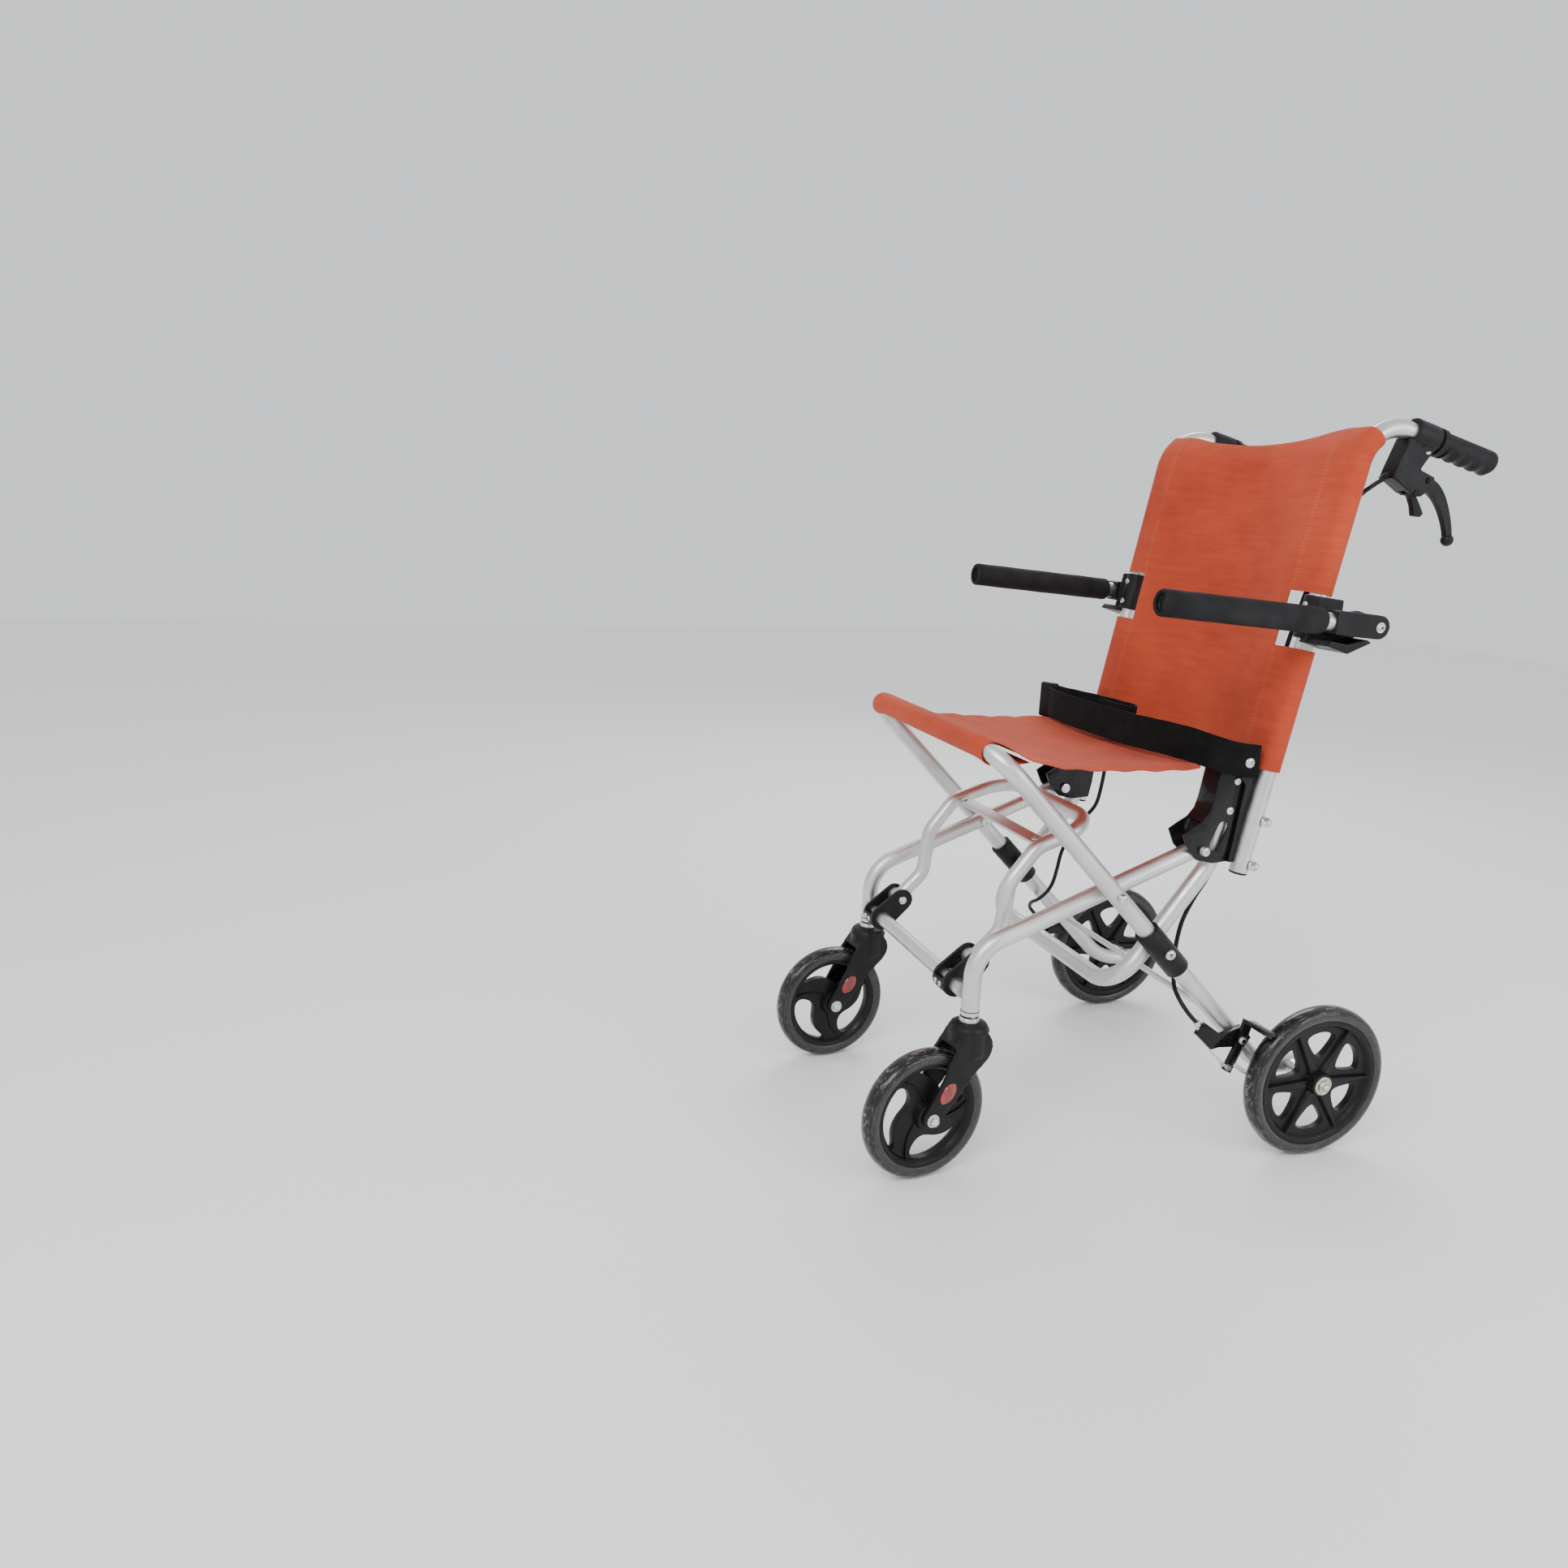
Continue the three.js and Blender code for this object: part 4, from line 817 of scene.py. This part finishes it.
def add_hardware():
    pins = [screw_head(at(x + way * 0.0161, FOOT_PIVOT), (way, 0, 0), 0.0058, 0.0024) for x in (FOOT_X,
        -FOOT_X) for way in (-1, 1)]
    piece("footrest_pin_heads", joined(*pins), "zinc", "front_frame")
    for side, sign in SIDES:
        out = Vector((sign, 0, 0))

        def fixed(name, body, *parts):
            piece(f"{name}_{side}", joined(*parts), "zinc", body)

        for node, edge in EDGES.items():
            softened(f"{node}_{side}", *edge)
        outer = 0.1783 + 0.0025
        screws = [screw_head(at(sign * outer, p), out, 0.0052, 0.0028) for p in ((0.0735, 0.442), (0.079,
            0.479))]
        fixed("bracket_screws", "support_frame", *screws, screw_head(at(sign * (outer + 0.004), LEG_PIVOT),
            out, 0.0058, 0.003))
        nuts = []
        for z in (0.432, 0.377):
            lean = Vector((sign * 0.72, 0.68, -0.126)).normalized()
            place = at(sign * BACK_X, (back_y(z), z)) + lean * (TUBE - 0.0006)
            nuts += [disc(place, lean, 0.0075, 0.0014), hex_nut(place + lean * 0.0014, lean, 0.013, 0.0055,
                0.0045)]
        fixed("upright_nuts", "back_frame", *nuts)
        fixed("cross_screw", "rear_frame", screw_head(at(sign * (REAR_X + TUBE + 0.0035), CROSS), out, 0.0062,
            0.0032))
        fixed("sleeve_screw", "slide_sleeves", screw_head(at(sign * (REAR_X + 0.0155 + 0.0024), SLEEVE), out,
            0.0064, 0.0036))
        head = at(sign * 0.1896, HINGE)
        fixed("hinge_screw", "support_frame", disc(head + out * 0.003, out, 0.0092, 0.0014, 28),
            screw_head(head + out * 0.0044, out, 0.0066, 0.0034))
        place = at(sign * 0.2154, (0.109, 0.152))
        fixed("brake_screw", f"brake_arm_{side}", disc(place, out, 0.0054, 0.0011),
            screw_head(place + out * 0.0011, out, 0.0042, 0.0024))
        add_brake_wire(side, sign)
        saddle = [screw_head((sign * FOOT_X + dx, CROSS_TUBE.x - 0.0165, CROSS_TUBE.y - 0.002), (0, -1,
            -0.12), 0.0036, 0.0022) for dx in (-0.006, 0.006)]
        fixed("saddle_screws", "front_frame", *saddle)


def add_brake_wire(side, sign):
    """The cable's ferrule and adjuster, the bare wire to the arm, and the thin return spring."""
    way = Vector((0, 0.43, -0.9)).normalized()
    top = Vector((sign * 0.205, 0.0455, 0.1795))
    adjuster = [(0, 0), (0.0036, 0), (0.004, 0.0008), (0.004, 0.0065), (0.0032, 0.0075), (0.0027, 0.0078),
        (0.0027, 0.016), (0.0034, 0.0162), (0.0034, 0.0185), (0, 0.0186)]
    piece(f"cable_adjuster_{side}", lathe(adjuster, top, way, 24), "zinc", "rear_frame")
    start = top + way * 0.018
    end = Vector((sign * 0.209, 0.0905, 0.1185))
    line = [start, start.lerp(end, 0.5) + Vector((0, -0.002, -0.003)), end]
    wire = piece(f"brake_wire_{side}", tube(line, 0.0008, 10), "zinc")
    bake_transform(wire)
    clamp = [(0, -0.008), (0.0042, -0.008), (0.0042, -0.001), (0.0052, -0.0008), (0.0052, 0.004), (0, 0.0042)]
    piece(f"wire_clamp_{side}", lathe(clamp, (sign * 0.2106, 0.0925, 0.1175), (-sign, 0, 0), 16), "zinc",
        f"brake_arm_{side}")
    coils = []
    for k in range(60):
        t = k / 59
        coil = 2 * pi * 7 * min(1.0, t / 0.7)
        r = 0.0026 if t < 0.7 else 0.0
        coils.append(Vector((sign * (0.2172 + 0.0006 * t * 6), 0.1005 + 0.03 * t + r * cos(coil),
            0.1205 - 0.02 * t + r * sin(coil))))
    piece(f"return_spring_{side}", tube(coils, 0.0005, 8), "zinc", "rear_frame")


# ------------------------------------------------------------------ handles and armrests
GRIP_FROM, GRIP_TO = 0.289, 0.378


def grip_radius(s, length, angle):
    """The grip's radius at s along it: a collar, four finger hollows underneath, fine ribs and a round end."""
    base = 0.0166 if s < 0.0075 else 0.0152 if s < 0.01 else 0.0142
    if s > length - 0.006:
        base *= sqrt(max(0.0, 1 - ((s - length + 0.006) / 0.0062) ** 2)) * 0.55 + 0.45
    if not 0.012 < s < length - 0.008:
        return base
    under = max(0.0, cos(angle))
    hollow = 0.5 + 0.5 * cos(2 * pi * (s - 0.012) / (length - 0.02) * 4)
    return base + hollow * 0.0022 * under ** 0.7 + 0.00025 * sin(2 * pi * s / 0.0026) * (1 - under)


def add_handles():
    for side, sign in SIDES:
        x = sign * BACK_X
        moulded(f"lever_housing_{side}", "plastic", 0.0011, 4)
        add_lever_blade(side, x)
        softened(f"parking_catch_{side}", "plastic", 0.0008, 2)
        start, end = (at(x, (y, handle_z(y))) for y in (GRIP_FROM, GRIP_TO))
        length = (end - start).length
        along = (end - start).normalized()
        down = Vector((0, along.z, -along.y))
        rows, around = 90, 40
        verts = []
        for i in range(rows + 1):
            s = length * i / rows
            for angle in (2 * pi * k / around for k in range(around)):
                r = grip_radius(s, length, angle)
                verts.append(start + along * s + down * r * cos(angle) + Vector((r * sin(angle), 0, 0)))
        piece(f"hand_grip_{side}", (verts, skin(rows + 1, around)), "grip", "back_frame", [f"grip_{side}"],
            45)
        ferrule = lathe([(0, 0), (0.0042, 0), (0.0042, 0.006), (0.0034, 0.007), (0.0034, 0.011), (0, 0.0112)],
            (x, 0.23, 0.8455), (-sign * 0.35, -0.8, -0.5), 20)
        piece(f"cable_ferrule_{side}", ferrule, "plastic", "back_frame")
        pins = [screw_head((x + sign * 0.0118, 0.277, 0.841), (sign, 0, 0), 0.0026, 0.0014),
            screw_head((x + sign * 0.0118, 0.262, 0.88), (sign, 0, 0), 0.0022, 0.0012)]
        piece(f"housing_pins_{side}", joined(*pins), "plastic", "back_frame")
        screw = screw_head((x + sign * 0.0085, 0.271, 0.8735), (0, 0.1, -1), 0.005, 0.0035)
        piece(f"clamp_screw_{side}", screw, "zinc", "back_frame")
        add_armrest(side, sign)


# the lever's middle line and half width, in millimetres: (y, z, half width)
LEVER_LINE = ((272, 843, 5.5), (284, 838.5, 8.0), (298, 831, 8.2), (310, 819, 7.2), (320, 803, 5.8), (327,
    787, 4.8), (331, 773, 4.4))
BALL_R = 7.4 * MM


def add_lever_blade(side, x):
    """The brake lever: a tapering blade that ends in a ball."""
    middle = smooth_line([Vector((0, y * MM, z * MM)) for y, z, _ in LEVER_LINE], 0.003)
    half = np.interp([p.y * 1000 for p in middle], [row[0] for row in LEVER_LINE],
        [row[2] for row in LEVER_LINE])
    left, right = [], []
    for i, point in enumerate(middle):
        way = (middle[min(i + 1, len(middle) - 1)] - middle[max(i - 1, 0)]).normalized()
        out = Vector((0, -way.z, way.y)) * float(half[i]) * MM
        left.append((point + out).yz)
        right.append((point - out).yz)
    node = f"brake_lever_{side}"
    blade = piece(f"lever_blade_{side}", prism(left + right[::-1], x - 0.0038, x + 0.0038), "plastic", node,
        [node])
    bake(blade, bevel(0.0022, 4, 50))
    dress(blade, "plastic", 50)
    turns = [pi * k / 14 for k in range(1, 14)]
    ball = [(0, -BALL_R)] + [(BALL_R * sin(a), -BALL_R * cos(a)) for a in turns] + [(0, BALL_R)]
    piece(f"lever_ball_{side}", lathe(ball, (x, 0.331, 0.7735), (1, 0, 0), 28), "plastic", node)


def add_armrest(side, sign):
    axis = at(0, ARM_PIVOT - ARM_FRONT).normalized()
    front = at(sign * ARM_X, ARM_FRONT)
    body = f"armrest_{side}"
    piece(f"arm_tube_{side}", tube([front + axis * 0.0065, front + axis * 0.258], TUBE), "aluminium", body,
        [f"armrest_tube_{side}"])
    length = 0.217
    profile = [(0.0114, 0.0006), (0.0128, 0.0), (0.0144, 0.0004), (0.0152, 0.0016), (0.0155, 0.004)]
    profile += [(0.0155 - 0.00012 * sin(k * 0.9), 0.004 + (length - 0.008) * k / 24) for k in range(1, 24)]
    profile += [(0.0155, length - 0.004), (0.015, length - 0.0012), (0.014, length), (0.0114,
        length - 0.0004), (0.0114, 0.0006)]
    pad = piece(f"arm_foam_{side}", lathe(profile, front, axis, 56), "foam", body, [f"armrest_foam_{side}"],
        50)
    plug = [(0, 0.005), (0.0088, 0.0048), (0.0096, 0.004), (0.01, 0.0008), (0.0106, 0.0003), (0.0112, 0.001),
        (0.0112, 0.0062), (0, 0.0063)]
    piece(f"arm_plug_{side}", lathe(plug, front, axis, 40), "plastic", body)
    moulded(f"armrest_hinge_{side}", "plastic", 0.0011, 5)
    moulded(f"armrest_bracket_{side}", "plastic", 0.0011, 3)
    head = at(sign * (ARM_X + 0.0134), ARM_PIVOT)
    out = Vector((sign, 0, 0))
    parts = [disc(head, out, 0.0062, 0.0005, 24, -0.001), screw_head(head, out, 0.0044, 0.0026)]
    for z in (0.662, 0.69):
        parts.append(screw_head(at(sign * BACK_X, (back_y(z), z)) + BACK_FACE * 0.015, BACK_FACE, 0.0038,
            0.0024))
    piece(f"arm_bracket_screws_{side}", joined(*parts), "zinc", "back_frame")


# ------------------------------------------------------------------ fabric
def grid_piece(name, rows, flats, finish, thickness, keep=None):
    """A sheet from rows of points, with its flat coordinates as UVs, thickened to a closed solid."""
    high, wide = len(rows), len(rows[0])
    verts = [p for row in rows for p in row]
    faces = [(i * wide + k, i * wide + k + 1, (i + 1) * wide + k + 1, (i + 1) * wide + k)
        for i in range(high - 1) for k in range(wide - 1) if keep is None or keep(i, k)]
    obj = piece(name, (verts, faces), finish, sharp=75)
    layer = obj.data.uv_layers.new(name="flat")
    for loop in obj.data.loops:
        i, k = divmod(loop.vertex_index, wide)
        layer.data[loop.index].uv = flats[i][k]
    with editing(obj.data) as work:
        bmesh.ops.delete(work, geom=[v for v in work.verts if not v.link_faces], context="VERTS")
    bake(obj, ("SOLIDIFY", {"thickness": thickness, "offset": 0.0, "use_even_offset": True}))
    dress(obj, finish, 75)
    return obj


def smoothstep(t):
    t = min(1.0, max(0.0, t))
    return t * t * (3 - 2 * t)


def ripple(a, b):
    """Gentle creases, the same at every run."""
    return (sin(a * 31 + 2.1 * sin(b * 13)) * 0.5 + sin(b * 47 + 1.7 * sin(a * 19)) * 0.3
        + sin((a + b) * 83) * 0.2)


SHEET = 0.0012
SEAM_Y = -0.08
ROLL_R = 0.0138


def bar_drop(x):
    """How far the seat bar has already bent down its legs at this distance from the middle."""
    past = max(0.0, abs(x) - (REAR_X - 0.048))
    return 0.048 - sqrt(max(0.0, 0.048 ** 2 - past ** 2))


def seat_profile():
    """The seat cloth's line in the side view, from the hem under the front bar, round it, to the back edge."""
    points = [(-0.199, 0.5058, 0.0), (-0.212, 0.5058, 0.3), (-0.23, 0.5066, 0.7)]
    for k in range(0, 17):
        angle = -pi / 2 - pi * 1.08 * k / 16
        points.append((SEAT_BAR.x + ROLL_R * cos(angle), SEAT_BAR.y + ROLL_R * sin(angle), 1.0))
    points += [(-0.232, 0.529, 0.85), (-0.22, 0.522, 0.6), (-0.208, 0.5145, 0.3), (-0.196, 0.5095, 0.1),
        (-0.18, 0.5062, 0.0), (-0.15, 0.503, 0.0), (-0.12, 0.5005, 0.0), (-0.08, 0.4985, 0.0), (-0.04, 0.4975,
        0.0), (0.0, 0.4975, 0.0), (0.03, 0.4985, 0.0), (0.06, 0.5, 0.0), (0.092, 0.502, 0.0)]
    fine = []
    for a, b in zip(points, points[1:]):
        steps = max(1, round(dist(a[:2], b[:2]) / 0.0045))
        fine += [tuple(p + (q - p) * i / steps for p, q in zip(a, b)) for i in range(steps)]
    fine.append(points[-1])
    for _ in range(3):
        fine = [fine[0]] + [tuple((p + 2 * q + r) / 4 for p, q, r in zip(*trio)) for trio in zip(fine,
            fine[1:], fine[2:])] + [fine[-1]]
    return fine


def seat_half(y, travelled):
    """Half the cloth's width: as wide as the roll in front, widest over the tubes, narrow between the brackets."""
    if travelled < 0.08:
        return 0.168
    wide = 0.168 + 0.012 * smoothstep((y + 0.238) / 0.035)
    return wide - 0.0345 * smoothstep((y - 0.022) / 0.026)


def add_seat():
    line = seat_profile()
    columns = 73
    rows, flats = [], []
    travelled = 0.0
    for i, (y, z, follow) in enumerate(line):
        if i:
            travelled += dist(line[i - 1][:2], (y, z))
        half = seat_half(y, travelled)
        row, flat = [], []
        for k in range(columns):
            s = 2 * k / (columns - 1) - 1
            x = half * s
            drop = bar_drop(x) * follow
            on_seat = smoothstep((y + 0.205) / 0.05) if travelled > 0.06 else 0.0
            sag = 0.0065 * (1 - s * s) * on_seat * smoothstep((0.092 - y) / 0.06)
            curl = 0.003 * smoothstep((abs(s) - 0.93) / 0.07) * on_seat
            crease = ripple(x * 1.3, y) * 0.00085 * on_seat
            pull = 0.0008 * sin((y * 1.6 + abs(x) * 0.6) * 95) * smoothstep((abs(s) - 0.55) / 0.4) * on_seat
            row.append(Vector((x, y + drop * DOWN.x, z + drop * DOWN.y - sag - curl + crease + pull)))
            flat.append((x, travelled))
        rows.append(row)
        flats.append(flat)
    split = min(range(len(line)), key=lambda i: abs(line[i][0] - SEAM_Y) + (0 if i > 30 else 9))
    front = grid_piece("seat_cloth_front", rows[:split + 1], flats[:split + 1], "fabric", SHEET)
    rear = grid_piece("seat_cloth_rear", rows[split:], flats[split:], "fabric", SHEET)
    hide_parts("seat_fabric")
    over_seat(front, "front")
    over_seat(rear, "rear")
    add_seat_stitches(rows, line)


def over_seat(obj, part):
    """Bake a piece's placement into its mesh, alike for the front and the rear half of the seat."""
    if part == "front":
        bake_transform(obj)
    else:
        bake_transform(obj)


def stitch_row(name, path, size, up, body=None):
    """Sewn stitches along a path on a surface whose outward side is up; size is length, gap, width, height."""
    length, gap, width, height = size
    walked, along = [0.0], 0.0
    for a, b in zip(path, path[1:]):
        along += (b - a).length
        walked.append(along)

    def place(s):
        i = min(max(int(np.searchsorted(walked, s)) - 1, 0), len(path) - 2)
        return path[i].lerp(path[i + 1], (s - walked[i]) / max(1e-9, walked[i + 1] - walked[i]))

    outline = [(-0.5, 0.5), (0.5, 0.5), (0.5, -0.5), (-0.5, -0.5)]
    outline = [(u, w, 0) for u, w in outline] + [(u * 0.6, w * 0.56, 1) for u, w in outline]
    solids = []
    s = gap
    while s + length < along:
        start, end = place(s), place(s + length)
        way = (end - start).normalized()
        across = way.cross(up).normalized()
        lift = across.cross(way)
        turn = Matrix((way, across, lift)).transposed()
        middle = start.lerp(end, 0.5) + lift * height * 0.35
        shape = [middle + turn @ Vector((u * length, w * width, (h - 0.5) * height)) for u, w, h in outline]
        solids.append((shape, skin(2, 4)))
        s += length + gap
    return piece(name, joined(*solids), "thread", body, sharp=80)


UP = Vector((0, 0, 1))
ROLL_STITCH = (0.0028, 0.0014, 0.0009, 0.0007)
HEM_STITCH = (0.0028, 0.0014, 0.0008, 0.0004)
BACK_STITCH = (0.003, 0.0015, 0.0009, 0.0007)


def add_seat_stitches(rows, line):
    """The seam behind the front roll, and the hems down both sides."""
    seam = min(range(len(line)), key=lambda i: abs(line[i][0] + 0.197) + (0 if i > 20 else 9))
    for offset, name in ((0, "a"), (1, "b")):
        path = [p + UP * SHEET * 0.5 for p in rows[seam + offset][1:-1]]
        over_seat(stitch_row(f"roll_stitching_{name}", path, ROLL_STITCH, UP), "front")
    for column, label in ((5, "R"), (-6, "L")):
        path = [row[column] + UP * SHEET * 0.5 for row in rows[seam + 2:]]
        split = min(range(len(path)), key=lambda i: abs(path[i].y - SEAM_Y))
        for part, run in (("front", path[:split + 1]), ("rear", path[split:])):
            over_seat(stitch_row(f"seat_hem_{part}_{label}", run, HEM_STITCH, UP), part)


SLEEVE_R = 0.0134
BACK_LOW, BACK_HIGH = 0.4925, 0.888
NOTCH = (0.64, 0.706)


def back_section():
    """Half of the back cloth's section: (x, rearward offset), from the inner hem behind the tube to the middle."""
    points = [(0.15, 0.0146), (0.16, 0.0143), (0.172, 0.0139)]
    points += [(BACK_X + SLEEVE_R * sin(pi * k / 12), SLEEVE_R * cos(pi * k / 12)) for k in range(13)]
    points += [(0.176, -0.0134), (0.165, -0.0131), (0.156, -0.0129), (0.152, -0.0128), (0.148, -0.0122)]
    return points + [(0.148 * (1 - k / 20), -0.0122 + 0.01 * sin(k / 20 * pi / 2)) for k in range(1, 21)]

def add_back():
    half = back_section()
    section = half + [(-x, d) for x, d in reversed(half[:-1])]
    line = bent([at(0, BACK_FOOT), at(0, HANDLE_CORNER), at(0, (0.366, handle_z(0.366)))], [0.052], 40)
    fine = []
    for a, b in zip(line, line[1:]):
        steps = max(1, round((b - a).length / 0.0048))
        fine += [a.lerp(b, i / steps) for i in range(steps)]
    heights = [p for p in fine if BACK_LOW <= p.z <= BACK_HIGH and p.y < 0.22]
    rows, flats = [], []
    for i, point in enumerate(heights):
        a, b = heights[max(i - 1, 0)], heights[min(i + 1, len(heights) - 1)]
        way = (b - a).normalized()
        rear = Vector((0, way.z, -way.y))
        level = (point.z - BACK_LOW) / (BACK_HIGH - BACK_LOW)
        flat_x, row, flat = 0.0, [], []
        for k, (x, d) in enumerate(section):
            if k:
                flat_x += dist(section[k - 1], (x, d))
            inner = 1 - min(1.0, abs(x) / 0.15)
            open_panel = smoothstep(inner * 3) if 17 < k < len(section) - 18 else 0.0
            hollow = 0.012 * sin(inner * pi / 2) * sin(pi * min(1, max(0, level * 0.9 + 0.08)))
            crease = ripple(x * 0.9, point.z * 0.8) * 0.0007
            sag = -0.0095 * smoothstep((level - 0.88) / 0.12) * sin(inner * pi / 2) ** 0.7
            row.append(Vector((x, point.y, point.z)) + rear * (d + (hollow + crease) * open_panel)
                + way * sag * open_panel)
            flat.append((flat_x, point.z))
        rows.append(row)
        flats.append(flat)

    def keep(i, k):
        x = (section[k][0] + section[k + 1][0]) / 2
        z = (heights[i].z + heights[i + 1].z) / 2
        return not (NOTCH[0] < z < NOTCH[1] and abs(x) > 0.152)

    cloth = grid_piece("back_cloth", rows, flats, "fabric", SHEET, keep)
    settle(cloth, "back_frame", ["back_fabric"])

    def stitch(name, path):
        lifted = [p + BACK_FACE * SHEET * 0.5 for p in path]
        stitch_row(name, lifted, BACK_STITCH, BACK_FACE, "back_frame")

    front = [k for k in range(len(section)) if section[k][1] < -0.012 and abs(section[k][0]) > 0.147]
    for (label, sign), (tag, target) in product(SIDES, (("inner", 0.152), ("outer", 0.1565))):
        own = [k for k in front if section[k][0] * sign > 0]
        column = min(own, key=lambda k: abs(abs(section[k][0]) - target))
        for part, low, high in (("low", BACK_LOW, NOTCH[0]), ("high", NOTCH[1], BACK_HIGH + 0.01)):
            stitch(f"back_stitching_{tag}_{part}_{label}", [row[column] for row, point in zip(rows,
                heights) if low < point.z < high])
    stitch("back_hem_foot", rows[1][20:-20])
    stitch("back_hem_top", rows[-3][20:-20])

# ------------------------------------------------------------------ belt and cables
BELT_HALF = 0.0205
BELT_THICK = 0.0022


def smooth_line(points, spacing):
    """An even run of points along a smooth curve through the given ones."""
    dense = []
    for i in range(len(points) - 1):
        p0, p1 = points[max(i - 1, 0)], points[i]
        p2, p3 = points[i + 1], points[min(i + 2, len(points) - 1)]
        for k in range(16):
            t = k / 16
            dense.append(0.5 * ((2 * p1) + (p2 - p0) * t + (2 * p0 - 5 * p1 + 4 * p2 - p3) * t * t + (3 * p1
                - p0 - 3 * p2 + p3) * t ** 3))
    dense.append(points[-1])
    out, want, walked = [dense[0]], spacing, 0.0
    for a, b in zip(dense, dense[1:]):
        step = (b - a).length
        while walked + step >= want:
            out.append(a.lerp(b, (want - walked) / max(step, 1e-9)))
            want += spacing
        walked += step
    out.append(dense[-1])
    return out


def strap(name, points, lean=0.0):
    """Webbing standing on edge along a line of its middle."""
    line = smooth_line(points, 0.004)
    rows, flats = [], []
    walked = 0.0
    for i, point in enumerate(line):
        if i:
            walked += (point - line[i - 1]).length
        ahead = (line[min(i + 1, len(line) - 1)] - line[max(i - 1, 0)]).normalized()
        out = ahead.cross(Vector((0, 0, 1))).normalized()
        up = (Vector((0, 0, 1)) + out * lean * sin(walked * 9)).normalized()
        row, flat = [], []
        for k in range(13):
            s = k / 12 * 2 - 1
            edge = 0.0002 * sin(walked * 160 + k)
            row.append(point + up * (s * BELT_HALF + edge * abs(s) ** 3)
                + out * 0.0006 * cos(s * 3) * sin(walked * 40))
            flat.append((walked, s * BELT_HALF))
        rows.append(row)
        flats.append(flat)
    return grid_piece(name, rows, flats, "webbing", BELT_THICK)


def route(points, sign=1):
    """A line in metres from points in millimetres, on one side or the other."""
    return [Vector((sign * x, y, z)) * MM for x, y, z in points]


BELT_NEAR = ((193.5, 96, 505), (193.5, 72, 508), (186, 48, 513), (166, 29, 519), (130, 16, 521.5), (70, 9,
    520), (0, 5, 519), (-70, 3, 519), (-130, 4, 520), (-160, 9, 521.5))
BELT_FAR = ((-193.5, 96, 505), (-193.5, 72, 508), (-190, 48, 515), (-182, 28, 521), (-169, 15, 522.5))
BELT_TAIL = ((-160, 15, 524), (-120, 16, 525), (-70, 24, 525.5), (-20, 33, 525), (15, 35, 524.5), (27, 29,
    524), (23, 22, 524), (0, 19, 524), (-40, 15, 524))


def add_belt():
    near = strap("belt_strap_near", route(BELT_NEAR), 0.1)
    far = strap("belt_strap_far", route(BELT_FAR))
    tail = strap("belt_tail", route(BELT_TAIL))
    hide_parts("lap_belt")
    block = box((-0.165, 0.0118, 0.522), (0.027, 0.0085, 0.05), Matrix.Rotation(0.5, 3, "Z"))
    buckle = piece("belt_buckle", block, "plastic")
    bake(buckle, ("BEVEL", {"width": 0.0032, "segments": 4, "limit_method": "NONE"}))
    dress(buckle, "plastic", 40)
    for obj in (near, far, tail, buckle):
        over_seat(obj, "rear")


CABLE = ((187, 224, 841), (183, 213, 833), (172, 200, 815), (160, 180, 770), (153, 163, 700), (150, 150, 640),
    (148, 138, 580), (146, 124, 530), (143, 112, 480), (141, 103, 430), (141, 100, 400), (142, 94, 368), (147,
    80, 346), (150, 62, 322), (150, 49, 294), (150, 44, 268), (153, 41, 246), (160, 37, 229), (173, 31, 213),
    (190, 29, 202), (202, 34, 190), (205, 45, 178))
# each stretch of cable: its name, the bodies it runs between, and the heights where it leaves and meets them
CABLE_PARTS = (("upper", "back_frame", "support_frame", 0.56, 0.46), ("middle", "support_frame",
    "front_frame", 0.43, 0.34), ("lower", "front_frame", "rear_frame", 0.31, 0.245))


def add_cables():
    for side, sign in SIDES:
        line = smooth_line(route(CABLE, sign), 0.005)
        cuts = [0] + [min(range(len(line)), key=lambda i: abs(line[i].z - z)) for z in (0.445, 0.325)]
        cuts.append(len(line) - 1)
        for (name, a, b, high, low), start, end in zip(CABLE_PARTS, cuts, cuts[1:]):
            part = piece(f"brake_cable_{name}_{side}", tube(line[start:end + 1], 0.0028, 14), "jacket")
            if name == "upper":
                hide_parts(f"brake_cable_{side}")
            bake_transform(part)


add_camera()
add_studio()
add_tubes()
add_wheels()
add_hardware()
add_handles()
add_seat()
add_back()
add_belt()
add_cables()
